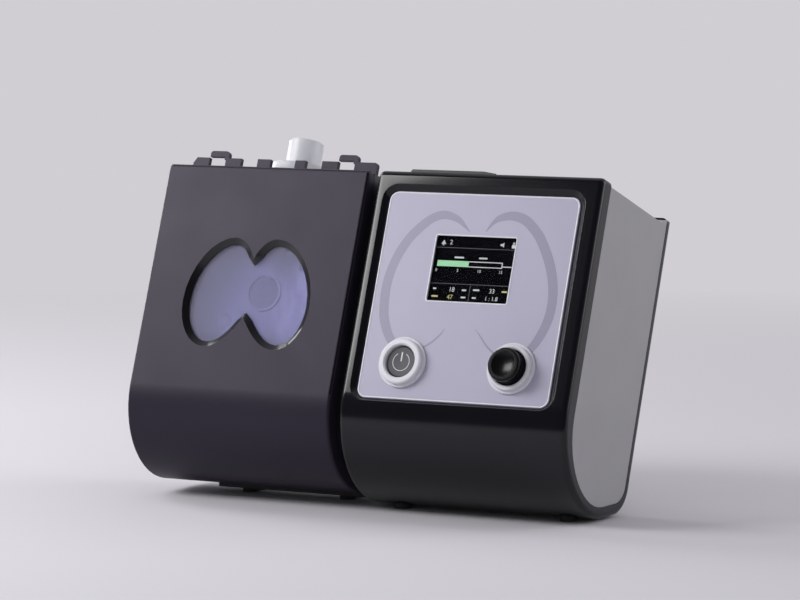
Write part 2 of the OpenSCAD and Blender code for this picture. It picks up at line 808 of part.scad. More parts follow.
// Ring with a low flange around a part of radius r
module control_ring(x, r) {
    bead = 1.2;
    lean_frame()
    translate([x, panel_face, control_v])
    rotate([90, 0, 0])
    rotate_extrude($fn = 96)
    polygon([[r + free, -panel_t], [ring_r - 1, -panel_t], [ring_r - 1, 0],
             [ring_r + ring_flange, 0], [ring_r + ring_flange, ring_flange_t - 0.4],
             [ring_r + ring_flange - 0.4, ring_flange_t], [ring_r, ring_flange_t],
             [ring_r, ring_out - bead], [ring_r - bead * 0.3, ring_out - bead * 0.3],
             [ring_r - bead, ring_out], [r + free + 0.8, ring_out], [r + free, ring_out - 0.8]]);
}

module power_ring() {
    color([0.83, 0.83, 0.86])
    control_ring(button_x, button_r);
}

module power_button() {
    sunk = 2.4;
    cap_t = 4;
    stem_r = 2;
    face = panel_face - ring_out + sunk;
    stem_l = board_face - switch_h - button_travel - 0.1 - face;
    color([0.25, 0.25, 0.28])
    lean_frame()
    translate([button_x, face, control_v])
    rotate([90, 0, 0])
    rotate_extrude($fn = 96)
    polygon([[0, -stem_l], [stem_r, -stem_l], [stem_r, -cap_t], [button_r, -cap_t], [button_r, -0.8],
             [button_r - 0.8, 0], [0, -0.3]]);
}

switch_h = 3.5;
module power_switch() {
    color([0.2, 0.2, 0.2])
    lean_frame() {
        block(button_x - 3, button_x + 3, board_face - switch_h + 0.6,
            board_face - 0.02, control_v - 3, control_v + 3);
        rod_w(button_x, control_v, board_face - switch_h, board_face - switch_h + 0.7, 1.7, 32);
    }
}

module knob_ring() {
    color([0.83, 0.83, 0.86])
    control_ring(knob_x, knob_r);
}

// Flange and cap of a knob, with a waist turned between them and a dish in its face
module knob() {
    gap = knob_travel + 0.3;
    top = knob_out;
    bore_end = top - knob_dish - 2.4;
    flange_top = gap + 2.4;
    cap_low = top - 2;
    half = (cap_low - flange_top) / 2;
    waist_round = (half * half + knob_waist * knob_waist) / (2 * knob_waist);
    dish_r = knob_cap_r - 2.6;
    dish_round = (dish_r * dish_r + knob_dish * knob_dish) / (2 * knob_dish);
    color([0.08, 0.08, 0.1])
    lean_frame()
    translate([knob_x, panel_face, control_v])
    rotate([90, 0, 0])
    difference() {
        rotate_extrude($fn = 96)
        polygon([[shaft_r + 0.02, gap], [knob_r - 0.4, gap], [knob_r, gap + 0.4], [knob_r, flange_top],
                 [knob_cap_r, cap_low], [knob_cap_r, top - 1.2], [knob_cap_r - 0.3, top - 0.45],
                 [knob_face_r, top], [0, top], [0, bore_end], [shaft_r + 0.02, bore_end]]);
        rotate_extrude($fn = 96)
        translate([(knob_r + knob_cap_r) / 2 - knob_waist + waist_round, (flange_top + cap_low) / 2])
        circle(waist_round, $fn = 64);
        translate([0, 0, top - knob_dish + dish_round])
        sphere(dish_round, $fn = 96);
    }
}

module knob_shaft() {
    color("silver")
    lean_frame()
    rod_w(knob_x, control_v, panel_face - knob_out + knob_dish + 2.45, shaft_end, shaft_r);
}

shaft_end = board_face - 4.6;
plunger_l = 1.8;
plunger_r = 2.2;
encoder_s = 14;
module encoder() {
    color([0.35, 0.4, 0.35])
    lean_frame()
    difference() {
        union() {
            block(knob_x - encoder_s / 2, knob_x + encoder_s / 2, board_face - 6.4,
                board_face - 0.02, control_v - encoder_s / 2, control_v + encoder_s / 2);
            rod_w(knob_x, control_v, panel_back + 0.2, board_face - 6.3, 4.6);
        }
        rod_w(knob_x, control_v, 0, shaft_end + knob_travel + 0.2, shaft_r + run);
        rod_w(knob_x, control_v, shaft_end, shaft_end + free + plunger_l + knob_travel + 0.3,
            plunger_r + run);
    }
}

module encoder_plunger() {
    color("gold")
    lean_frame()
    rod_w(knob_x, control_v, shaft_end + 0.1, shaft_end + 0.1 + plunger_l, plunger_r);
}

module control_board() {
    color([0.1, 0.35, 0.2])
    lean_frame() {
        block(panel_x0 + 5, panel_x0 + panel_w - 5, board_face, board_face + pcb_t,
            panel_v0 + 6, panel_v1 - 8);
        for (c = [[10, -30, 16, 16, 2.4], [60, -30, 30, 10, 4], [90, -62, 18, 12, 3], [30, -70, 22, 22, 2]])
        block(panel_x0 + c[0], panel_x0 + c[0] + c[2], board_face + pcb_t - eps,
            board_face + pcb_t + c[4], panel_v1 + c[1] - c[3], panel_v1 + c[1]);
    }
}

module main_board() {
    color([0.1, 0.3, 0.2])
    lean_frame() {
        block(board_x, board_x + pcb_t, main_board_w0, main_board_w1, main_board_v0, main_board_v1);
        for (c = [[6, -20, 20, 16, 6], [34, -50, 16, 24, 9], [8, -76, 22, 22, 3], [40, -90, 12, 12, 11]])
        block(board_x - c[4], board_x + eps, main_board_w0 + c[0], main_board_w0 + c[0] + c[2],
              main_board_v1 + c[1] - c[3], main_board_v1 + c[1]);
        // Capacitors standing on the board
        for (v = [main_board_v1 - 32, main_board_v1 - 40])
        rod_x(main_board_w0 + 8, v, board_x - board_part_h, board_x + eps, 3.6, 32);
    }
}

module blower_front() {
    color([0.82, 0.82, 0.8])
    lean_frame()
    difference() {
        union() {
            rod_w(blower_x, blower_v, blower_w0, volute_split - seam / 2, volute_r);
            rod_w(blower_x, blower_v, blower_w0 - 4, blower_w0 + eps, motor_r + 3);
            outlet_tube();
        }
        rod_w(blower_x, blower_v, blower_w0 + volute_wall, volute_split + 1, volute_r - volute_wall);
        rod_w(blower_x, blower_v, blower_w0 - 5, blower_w0 + volute_wall + 1, motor_r + 0.1);
        outlet_bore();
        block(-big, big, volute_split - seam / 2, big, -big, big);
    }
}

module blower_back() {
    color([0.8, 0.8, 0.78])
    lean_frame()
    difference() {
        union() {
            rod_w(blower_x, blower_v, volute_split + seam / 2, blower_w1, volute_r);
            rod_w(blower_x, blower_v, blower_w1 - eps, well_floor - seam, inlet_r + 2);
            outlet_tube();
        }
        rod_w(blower_x, blower_v, volute_split - 1, blower_w1 - volute_wall, volute_r - volute_wall);
        rod_w(blower_x, blower_v, volute_split, well_floor + 1, inlet_r);
        outlet_bore();
        block(-big, big, -big, volute_split + seam / 2, -big, big);
    }
}

module outlet_tube() {
    rod_v(duct_x, duct_w, blower_v, outlet_v, duct_r + duct_wall);
}

module outlet_bore() {
    rod_v(duct_x, duct_w, blower_v + outlet_start, outlet_v + 1, duct_r);
}

module impeller() {
    back_plate = 1.6;
    hub_r = 6;
    blade_t = 1.1;
    depth = 16;
    w_front = volute_split - 8;
    spindle_l = w_front - (blower_w0 - motor_d + spindle_in);
    color([0.9, 0.9, 0.92])
    lean_frame()
    translate([blower_x, w_front, blower_v])
    rotate([-90, 0, 0]) {
        cylinder(h = back_plate, r = impeller_r, $fn = 96);
        cylinder(h = depth - 3, r1 = hub_r, r2 = hub_r * 0.6, $fn = 48);
        translate([0, 0, -spindle_l])
        cylinder(h = spindle_l + eps, r = spindle_r, $fn = 32);
        // Each blade is an arc that leaves the hub square to it and sweeps back
        for (k = [0 : blade_count - 1])
        rotate(k * 360 / blade_count)
        translate([0, 0, back_plate - eps])
        linear_extrude(depth - back_plate)
        polygon(blade_points(impeller_r * 0.34, impeller_r - 0.4, blade_t));
    }
}

// Blade outline: a spiral strip of constant thickness between two radii
function blade_points(r0, r1, t) =
    let (n = 6, sweep = 48,
         mid = [for (k = [0 : n]) let (s = k / n, r = r0 + (r1 - r0) * s,
             a = -sweep * s * s) [r * cos(a), r * sin(a), a]])
    concat([for (m = mid) [m[0] + t / 2 * sin(m[2] - 30), m[1] + t / 2 * -cos(m[2] - 30)]],
           [for (k = [n : -1 : 0]) let (m = mid[k]) [m[0] - t / 2 * sin(m[2] - 30),
               m[1] + t / 2 * cos(m[2] - 30)]]);

module blower_motor() {
    color([0.45, 0.45, 0.48])
    lean_frame()
    difference() {
        rod_w(blower_x, blower_v, blower_w0 - motor_d, blower_w0 + volute_wall - 0.2, motor_r);
        rod_w(blower_x, blower_v, blower_w0 - motor_d + 3,
            blower_w0 + volute_wall + 1, spindle_r + bearing_play);
    }
}

module blower_mounts() {
    color([0.15, 0.15, 0.15])
    lean_frame()
    for (a = mount_angles)
    difference() {
        rod_w(blower_x + mount_ring_r * cos(a), blower_v + mount_ring_r * sin(a),
            blower_w1 + 0.1, well_floor - mount_post - 0.1, mount_pad_r, 32);
        rod_w(blower_x + mount_ring_r * cos(a), blower_v + mount_ring_r * sin(a),
            blower_w1 - 1, well_floor, 1.6, 32);
    }
}

// Riser and elbow from the blower, with a spigot in the nozzle's root
nozzle_end = hum_x1 - 4;
nozzle_in = 22;
nozzle_root = main_x0 + nozzle_in;
nozzle_r = duct_r + duct_wall - 0.3;
nozzle_bore = duct_r - 0.3;
spigot_l = 5;
spigot_r = nozzle_bore + 1;
module air_duct() {
    r = duct_r + duct_wall;
    color([0.75, 0.75, 0.74])
    lean_frame()
    difference() {
        union() {
            rod_v(duct_x, duct_w, outlet_v + seam, nozzle_v + r - 3, r);
            rod_x(duct_w, nozzle_v, nozzle_root + 0.1, duct_x + r - 2, nozzle_r);
            rod_x(duct_w, nozzle_v, nozzle_root - spigot_l, nozzle_root + 0.2, spigot_r);
            rod_v(duct_x, duct_w, outlet_v + seam, outlet_v + 4, r + 2);
        }
        rod_v(duct_x, duct_w, outlet_v - 1, nozzle_v + duct_r - 2, duct_r);
        rod_x(duct_w, nozzle_v, nozzle_root - spigot_l - 1, duct_x + duct_r - 1, nozzle_bore);
    }
}

// Nozzle that reaches into the humidifier, with a flange flattened under the housing's top
module outlet_nozzle() {
    wall_in = main_x0 + grey_inset + grey_wall;
    flange_t = 2;
    color([0.75, 0.75, 0.74])
    lean_frame()
    difference() {
        union() {
            rod_x(duct_w, nozzle_v, nozzle_end, nozzle_root, nozzle_r);
            difference() {
                rod_x(duct_w, nozzle_v, wall_in + 0.1, wall_in + 0.1 + flange_t, nozzle_r + 2);
                block(main_x0, nozzle_root, 0, thickness, -grey_drop - grey_wall - seam, 0);
            }
        }
        rod_x(duct_w, nozzle_v, nozzle_end - 1, nozzle_root + 1, nozzle_bore);
        rod_x(duct_w, nozzle_v, nozzle_root - spigot_l - 0.1, nozzle_root + 1, spigot_r + run);
    }
}

module air_filter() {
    color([0.55, 0.6, 0.62])
    lean_frame()
    block(blower_x - filter_s / 2, blower_x + filter_s / 2,
        well_floor + well_t + 0.1, well_floor + well_t + 0.1 + filter_t,
          blower_v - filter_s / 2, blower_v + filter_s / 2);
}

// Louvred door over the filter, hung at its top edge
module filter_door() {
    slats = 8;
    slat_pitch = 5.6;
    color([0.13, 0.12, 0.15])
    lean_frame()
    difference() {
        union() {
            block(blower_x - door_s / 2, blower_x + door_s / 2, door_face - door_t,
                door_face, blower_v - door_s / 2, door_axis_v);
            rod_x(door_axis_w, door_axis_v, blower_x - door_s / 2, blower_x + door_s / 2, door_knuckle_r, 48);
        }
        for (k = [0 : slats - 1])
        translate([blower_x, door_face - door_t / 2, blower_v + (k - (slats - 1) / 2) * slat_pitch])
        rotate([35, 0, 0])
        cube([door_s - 16, 3 * door_t, 2.2], center = true);
        rod_x(door_axis_w, door_axis_v, blower_x - door_s, blower_x + door_s, door_pin_r + run, 32);
        // Nail notch in the lower edge
        rod_x(door_face + 1.2, blower_v - door_s / 2, blower_x - 9, blower_x + 9, 2.6, 32);
    }
}

module filter_door_pin() {
    color("silver")
    lean_frame()
    rod_x(door_axis_w, door_axis_v, blower_x - recess_s / 2 - 2.8,
        blower_x + recess_s / 2 + 2.8, door_pin_r, 32);
}

module power_socket() {
    jack_r = 3.2;
    pin_r = 1.05;
    depth = 11;
    color([0.06, 0.06, 0.06])
    lean_frame() {
        difference() {
            block(power_socket_x - power_socket_w / 2,
                power_socket_x + power_socket_w / 2, back_inner - 10, thickness - 0.4,
                  power_socket_v - power_socket_h / 2, power_socket_v + power_socket_h / 2);
            rod_w(power_socket_x, power_socket_v, thickness - 0.4 - depth, thickness, jack_r, 48);
        }
        rod_w(power_socket_x, power_socket_v, thickness - 0.4 - depth - eps, thickness - 2, pin_r, 32);
    }
}

module card_slot() {
    slot_h = 2.4;
    color([0.08, 0.08, 0.08])
    lean_frame()
    difference() {
        block(card_x - card_w / 2, card_x + card_w / 2, back_inner - card_l,
              thickness - 0.4, card_v - card_h / 2, card_v + card_h / 2);
        block(card_x - card_w / 2 + 1.8, card_x + card_w / 2 - 1.8, back_inner - card_l + 2,
              thickness, card_v - slot_h / 2, card_v + slot_h / 2);
        rod_w(card_x, card_v, thickness - 3, thickness, 2.6, 32);
    }
}

module speaker() {
    color([0.2, 0.2, 0.22])
    lean_frame()
    difference() {
        union() {
            rod_w(speaker_x, speaker_v, back_inner - 4, back_inner - 0.1, speaker_r);
            rod_w(speaker_x, speaker_v, back_inner - 10, back_inner - 4 + eps, speaker_r - 5);
        }
        rod_w(speaker_x, speaker_v, back_inner - 2.5, back_inner, speaker_r - 2);
    }
}

plug_w0 = 30;
plug_w = 22;
plug_h = 12;
plug_v = -104;
module dock_socket() {
    color([0.1, 0.1, 0.1])
    lean_frame()
    difference() {
        block(main_x0 + grey_inset, main_x0 + 14, plug_w0,
            plug_w0 + plug_w, plug_v - plug_h / 2, plug_v + plug_h / 2);
        for (k = [0 : 3])
        block(main_x0, main_x0 + 9, plug_w0 + 2.9 + 5 * k, plug_w0 + 4.1 + 5 * k, plug_v - 3.4, plug_v + 3.4);
    }
}

foot_r = 5.2;
foot_y_front = -7;
foot_y_rear = 23;
foot_y_base = cover_end_y + foot_r + 0.8;
module foot_row(x_list, y_list, outline, top) {
    difference() {
        for (x = x_list, y = y_list)
        translate([x, y + y_shift, 0])
        cylinder(h = top, r = foot_r, $fn = 48);
        lean_frame()
        along_x(-total_w, total_w)
        polygon(outline);
    }
}

module main_feet() {
    color([0.1, 0.1, 0.1])
    foot_row([main_x0 + 20, main_x1 - 20], [foot_y_front, foot_y_rear], main_outline(0), 6.5);
}

// Humidifier

module front_cover() {
    color([0.3, 0.29, 0.34])
    lean_frame()
    difference() {
        union() {
            difference() {
                rounded_body(hum_x0, hum_x1, cover_round, function (i) cover_outline(i));
                along_x(hum_x0 - 1, hum_x1 + 1)
                polygon(side_outline(cover_return, thickness + 40, 20, 20, cover_base + cover_return,
                                     cover_belly_r - cover_return, heel_r));
                along_x(hum_x0 + cover_wall, hum_x1 - cover_wall)
                polygon(cover_outline(cover_wall));
                along_x(hum_x0 - 1, hum_x1 + 1)
                between_y(cover_end_y, big);
            }
            for (p = cover_spots)
            rod_w(p[0], p[1], cover_wall - eps, cover_return, 3.4, 32);
            window_backing();
        }
        window_cut();
        through(cover_wall, cover_wall + pane_t + seam)
        polygon(inset_points(window_points(), window_edge - pane_lap - seam));
        for (p = cover_spots)
        rod_w(p[0], p[1], cover_wall + 1.5, cover_return + 1, 1.25, 32);
    }
}

cover_spots = [[hum_x0 + 14, -16], [hum_x1 - 14, -16], [hum_x0 + 14, -134], [hum_x1 - 14, -134]];
pane_t = 2;
pane_lap = 1.6;

// Frame behind the window that holds the pane
module window_backing() {
    rim = 4;
    through(cover_wall - eps, cover_wall + 1.2)
    rounded_rect(window_mid - window_w / 2 - rim, window_mid + window_w / 2 + rim, -window_top - window_h - rim,
                 -window_top + rim, 20);
}

// Sloping edge and the straight opening behind it, as one skin over three outlines
module window_cut() {
    outer = window_points();
    inner = inset_points(outer, window_edge);
    n = len(outer);
    over = 0.5;
    top = inset_points(outer, -window_edge * over / window_sink);
    caps = lobe_caps(n);
    polyhedron(
        points = concat([for (p = top) [p[0], -over, p[1]]],
                        [for (p = inner) [p[0], window_sink, p[1]]],
                        [for (p = inner) [p[0], cover_wall + 2, p[1]]]),
        faces = concat(
            caps,
            [for (cap = caps) [for (k = [0 : -1 : 1 - len(cap)]) cap[(k + len(cap)) % len(cap)] + 2 * n]],
            [for (m = [0, n]) for (k = [0 : n - 1]) [k + m, (k + 1) % n + n + m, (k + 1) % n + m]],
            [for (m = [0, n]) for (k = [0 : n - 1]) [k + m, k + n + m, (k + 1) % n + n + m]]));
}

// The two lobes as two faces, each listed from its outermost point
function lobe_caps(n) =
    let (h = n / 2, q = n / 4)
    [concat([for (k = [q : h]) k], [for (k = [0 : q - 1]) k]),
     concat([for (k = [h + q : n - 1]) k], [0], [for (k = [h : h + q - 1]) k])];

module window_pane() {
    color([0.6, 0.6, 0.75, 0.4])
    lean_frame()
    through(cover_wall + 0.1, cover_wall + pane_t)
    polygon(inset_points(window_points(), window_edge - pane_lap));
}

hook_w0 = 38;
hook_depth = 12;
hook_half = 2.4;
hook_spots = [-46, -134];
module humidifier_housing() {
    color([0.13, 0.12, 0.15])
    lean_frame()
    difference() {
        union() {
            along_x(hum_x0, hum_x1) {
                polygon(bay_outline(0));
                intersection() {
                    polygon(low_outline(0));
                    between_y(cover_end_y + free, big);
                }
            }
            // Land that closes the gap to the main unit, and the two dock hooks
            block(hum_x1 - eps, hum_x1 + land_out, 18, 88, -144, -2.4);
            for (v = hook_spots)
            dock_hook(v);
        }
        bay_space();
        // Hollow double walls, open to the lower chamber
        for (x = [hum_x0 + bay_wall, bay_x1 + bay_wall])
        along_x(x, x + bay_x0 - hum_x0 - 2 * bay_wall)
        difference() {
            polygon(side_outline(bay_front_face + bay_wall, bay_w1,
                -8, -8, cover_base + bay_front_face + bay_wall,
                                 cover_belly_r - bay_front_face - bay_wall, heel_r - bay_wall));
            translate([0, nozzle_v - 18])
            square([big, big]);
        }
        lower_chamber();
        // Opening in the bay's front wall, behind the window
        through(bay_front_face - 1, bay_w0 + 1)
        rounded_rect(window_mid - window_w / 2 - 2, window_mid + window_w / 2 + 2, -window_top - window_h - 3,
                     -window_top + 3, 14);
        rod_x(duct_w, air_v, bay_x1 - 1, hum_x1 + land_out + 1, inlet_tube_r + seam);
        block(hum_x1 + land_out - 3, hum_x1 + land_out + 1, latch_w - free, latch_w + latch_l + free,
              -pad_depth - pad_travel, latch_v);
        block(hum_x1 - 8, hum_x1 + land_out + 1, plug_w0 - seam, plug_w0 + plug_w + seam,
            plug_v - plug_h / 2 - seam, plug_v + plug_h / 2 + seam);
        for (p = cover_spots)
        rod_w(p[0], p[1], bay_front_face - 1, bay_w0 + 3, screw_r + 0.2, 32);
        base_holes(cover_base + 6, screw_r);
    }
}

base_screws = [for (x = [base_x0 + 7, base_x1 - 7], y = [12, 24]) [x, y]];
module base_holes(top, r) {
    for (p = base_screws)
    upright(p[0], p[1], base_low + 1, top, r);
}

// Upright rod that stands in the leaning frame's space, between two heights above the floor
module upright(x, y, h0, h1, r) {
    translate([x, 0, 0])
    rotate([lean, 0, 0])
    translate([0, y, h0 - face_h])
    cylinder(h = h1 - h0, r = r, $fn = 32);
}

module bay_space() {
    upward(bay_floor, 20)
    rounded_rect(bay_x0, bay_x1, bay_w0, bay_w1, 6);
}

module dock_hook(v) {
    x1 = hum_x1 + land_out;
    reach = 6;
    block(x1 - eps, x1 + reach, hook_w0, hook_w0 + hook_depth, v - hook_half, v + hook_half - 1.6);
    block(x1 + reach - 2, x1 + reach, hook_w0, hook_w0 + hook_depth, v - hook_half, v + hook_half);
}

// Space for the humidifier's board between the bay's floor and the base
module lower_chamber() {
    along_x(hum_x0 + bay_wall, hum_x1 - bay_wall)
    intersection() {
        polygon(low_outline(bay_wall));
        translate([0, -2 * big])
        square([big, 2 * big + bay_floor - bay_wall]);
        union() {
            between_y(cover_end_y + free + bay_wall, big);
            polygon(bay_outline(bay_wall));
        }
    }
    along_x(base_x0 + 14, base_x1 - 14)
    intersection() {
        between_y(cover_end_y + 5, 22);
        below(cover_base + bay_wall + 2);
    }
}

module humidifier_base() {
    color([0.1, 0.1, 0.12])
    lean_frame()
    difference() {
        along_x(base_x0, base_x1)
        intersection() {
            polygon(base_outline());
            between_y(cover_end_y + free, big);
            below(cover_base - seam);
        }
        for (p = base_screws) {
            upright(p[0], p[1], 0, cover_base, screw_r + 0.1);
            upright(p[0], p[1], 0, base_low + 2.2, 3);
        }
    }
}

module tank_collar() {
    flange_v = bay_top + 0.1;
    flange_t = 1.6;
    color([0.14, 0.13, 0.16])
    lean_frame() {
        difference() {
            upward(flange_v, flange_v + flange_t)
            rounded_rect(bay_x0 - 5, bay_x1 + 5, rim_w0 + 0.4, bay_w1 + 1.6, 5);
            upward(flange_v - 1, flange_v + flange_t + 1)
            rounded_rect(bay_x0 + 0.4, bay_x1 - 0.4, bay_w0 + 0.4, bay_w1 - 0.4, 6);
        }
        // Low lip that drops into the mouth of the bay
        difference() {
            upward(flange_v - 3, flange_v + eps)
            rounded_rect(bay_x0 + 0.2, bay_x1 - 0.2, bay_w0 + 0.2, bay_w1 - 0.2, 6);
            upward(flange_v - 4, flange_v + 1)
            rounded_rect(bay_x0 + 1, bay_x1 - 1, bay_w0 + 0.9, bay_w1 - 0.9, 6);
        }
        through(rim_w0, rim_w0 + rim_t)
        rim_face();
    }
}

// Front wall of the rim: tabs on a regular pitch, a wider notch at the port, and two hooks
module rim_face() {
    foot_v = bay_top + 0.1;
    notch_half = 8.7;
    notch_mid = tab_first + 2.5 * tab_pitch + tab_w / 2 + 1;
    low = 1.3;
    difference() {
        union() {
            polygon([[tab_first - 2, foot_v], [rim_x1, foot_v], [rim_x1, low], [tab_first - 2, low]]);
            for (k = [0 : 5])
            translate([tab_first + k * tab_pitch, 0])
            polygon([[0, foot_v], [tab_w, foot_v], [tab_w, tab_h],
                [k == 0 ? 2.2 : 0, tab_h], [0, k == 0 ? 4 : tab_h]]);
            rounded_rect(tab_first + 5 * tab_pitch, rim_x1, foot_v, tab_h, 0.39);
        }
        translate([notch_mid - notch_half, low])
        square([2 * notch_half, tab_h]);
        translate([rim_x1 - 2, tab_h - 2])
        corner_cut(2);
    }
    for (k = [1, 5])
    translate([tab_first + k * tab_pitch, 0])
    hook_outline();
}

module corner_cut(r) {
    difference() {
        square([r + 1, r + 1]);
        circle(r = r, $fn = 32);
    }
}

// Bent arm whose leg stands on the left end of a tab and whose free end points left
module hook_outline() {
    outer = 2.6;
    difference() {
        union() {
            translate([-1, tab_h - 1])
            square([hook_leg, hook_h - tab_h + 1]);
            translate([hook_leg - 1 - hook_l, hook_h - hook_t])
            square([hook_l, hook_t]);
        }
        translate([hook_leg - 1 - outer, hook_h - outer])
        corner_cut(outer);
        translate([hook_leg - 1 - hook_l + 1.8, hook_h - 1.8])
        mirror([1, 0])
        corner_cut(1.8);
    }
}

module inlet_duct() {
    color([0.75, 0.75, 0.74])
    lean_frame()
    difference() {
        rod_x(duct_w, air_v, bay_x1 + 1.4, hum_x1 + land_out - 0.2, inlet_tube_r);
        rod_x(duct_w, air_v, bay_x1, hum_x1 + land_out + 1, duct_r);
        rod_x(duct_w, air_v, nozzle_end - 0.4, hum_x1 + land_out + 1, duct_r + duct_wall + free);
    }
}

module inlet_seal() {
    color([0.85, 0.85, 0.88])
    lean_frame()
    difference() {
        rod_x(duct_w, air_v, tank_x1 + free, bay_x1 + 1.3, inlet_tube_r - 1);
        rod_x(duct_w, air_v, tank_x1 - 1, bay_x1 + 3, duct_r);
    }
}

module heater_plate() {
    color([0.8, 0.8, 0.82])
    lean_frame()
    rod_v(hum_mid, tank_mid_w, heater_top - heater_t, heater_top, heater_r, 96);
}

tank_mid_w = (tank_w0 + tank_w1) / 2 + 1;
module heater_frame() {
    color([0.2, 0.2, 0.2])
    lean_frame()
    difference() {
        rod_v(hum_mid, tank_mid_w, bay_floor + 0.1, heater_top - 0.6, heater_r + 1.8, 96);
        rod_v(hum_mid, tank_mid_w, heater_top - heater_t - 0.1, heater_top + 1, heater_r + 0.15, 96);
        rod_v(hum_mid, tank_mid_w, bay_floor - 1, heater_top, heater_r - 8, 96);
    }
}

board_v = bay_floor - bay_wall - 3;
hum_board_l = 60;
hum_board_d = 28;
hum_board_w = 58;
module humidifier_board() {
    color([0.1, 0.35, 0.2])
    lean_frame() {
        block(hum_mid - hum_board_l / 2, hum_mid + hum_board_l / 2, hum_board_w - hum_board_d / 2,
              hum_board_w + hum_board_d / 2, board_v - pcb_t, board_v);
        block(hum_mid - 20, hum_mid - 2, hum_board_w - 8, hum_board_w + 6,
              board_v - pcb_t - 4, board_v - pcb_t + eps);
        for (s = [-1, 1])
        rod_v(hum_mid + s * (hum_board_l / 2 - 4), hum_board_w, board_v - eps,
            bay_floor - bay_wall - 0.1, 2.5, 32);
    }
}

module dock_connector() {
    color([0.08, 0.08, 0.08])
    lean_frame() {
        block(hum_x1 - 7.8, hum_x1 + land_out + 0.3, plug_w0,
            plug_w0 + plug_w, plug_v - plug_h / 2, plug_v + plug_h / 2);
        for (k = [0 : 3])
        block(hum_x1 + land_out, hum_x1 + land_out + 6, plug_w0 + 3.2 + 5 * k,
            plug_w0 + 3.8 + 5 * k, plug_v - 3, plug_v + 3);
    }
}

module humidifier_screws() {
    color("silver")
    lean_frame() {
        for (p = cover_spots)
        rod_w(p[0], p[1], cover_wall + 2, bay_w0 - 1, screw_r - 0.3, 32);
        for (p = base_screws) {
            upright(p[0], p[1], base_low + 2.2 - eps, cover_base + 5.5, screw_r);
            upright(p[0], p[1], base_low + 0.6, base_low + 2.2, 2.7);
        }
    }
}

module humidifier_feet() {
    color([0.1, 0.1, 0.1])
    foot_row([base_x0 + 20, base_x1 - 20], [foot_y_base, foot_y_rear], base_outline(), 6.5);
}

module tank_body() {
    ear_t = 5;
    disc_x = hum_mid + disc_side;
    disc_v = tank_v1 - disc_down;
    disc_out = 1;
    color([0.55, 0.57, 0.75, 0.5])
    lean_frame()
    difference() {
        union() {
            upward(tank_v0, tank_v1)
            rounded_rect(tank_x0, tank_x1, tank_w0, tank_w1, tank_corner);
            // Round disc on the front, behind the window
            rod_w(disc_x, disc_v, tank_w0 - disc_out, tank_w0 + eps, disc_r, 96);
            // Ears that carry the lid's hinge pins
            for (s = [-1, 1])
            along_x(hum_mid + s * hinge_side - ear_t / 2, hum_mid + s * hinge_side + ear_t / 2) {
                translate([hinge_w, hinge_v])
                circle(r = hinge_knuckle_r, $fn = 48);
                polygon([[tank_w1 + 1, tank_v1], [tank_w1 - 1, tank_v1 - 12],
                         [hinge_w + hinge_knuckle_r - 0.2, tank_v1 + 4],
                         [hinge_w + hinge_knuckle_r - 0.2, hinge_v], [tank_w1 + 2.7, hinge_v]]);
            }
        }
        upward(tank_v0 + tank_wall, tank_v1 + 1)
        rounded_rect(tank_x0 + tank_wall, tank_x1 - tank_wall,
            tank_w0 + tank_wall, tank_w1 - tank_wall, tank_corner - tank_wall);
        rod_w(disc_x, disc_v, tank_w0 - disc_out - 1, tank_w0 - disc_out + 0.6, disc_r - 1.6, 96);
        rod_v(hum_mid, tank_mid_w, tank_v0 - 1, tank_v0 + tank_wall + 1, base_plate_r + 0.02, 96);
        for (s = [-1, 1])
        rod_x(hinge_w, hinge_v, hum_mid + s * hinge_side - ear_t,
            hum_mid + s * hinge_side + ear_t, hinge_pin_r + 0.02, 32);
    }
}

base_plate_r = heater_r - 2;
module tank_base_plate() {
    color([0.75, 0.75, 0.77])
    lean_frame()
    rod_v(hum_mid, tank_mid_w, tank_v0, tank_v0 + tank_wall, base_plate_r, 96);
}

module lid_seal() {
    color([0.85, 0.85, 0.88])
    lean_frame()
    difference() {
        upward(tank_v1 + 0.02, lid_v0 - 0.08)
        rounded_rect(tank_x0 + 0.5, tank_x1 - 0.5, tank_w0 + 0.5, tank_w1 - 0.5, tank_corner - 0.5);
        upward(tank_v1 - 1, lid_v0 + 1)
        rounded_rect(tank_x0 + tank_wall - 0.4, tank_x1 - tank_wall + 0.4,
            tank_w0 + tank_wall - 0.4, tank_w1 - tank_wall + 0.4, tank_corner - 2);
    }
}

module lid_hinge_pins() {
    color("silver")
    lean_frame()
    for (s = [-1, 1])
    rod_x(hinge_w, hinge_v, hum_mid + s * hinge_side - 9, hum_mid + s * hinge_side + 9, hinge_pin_r, 32);
}

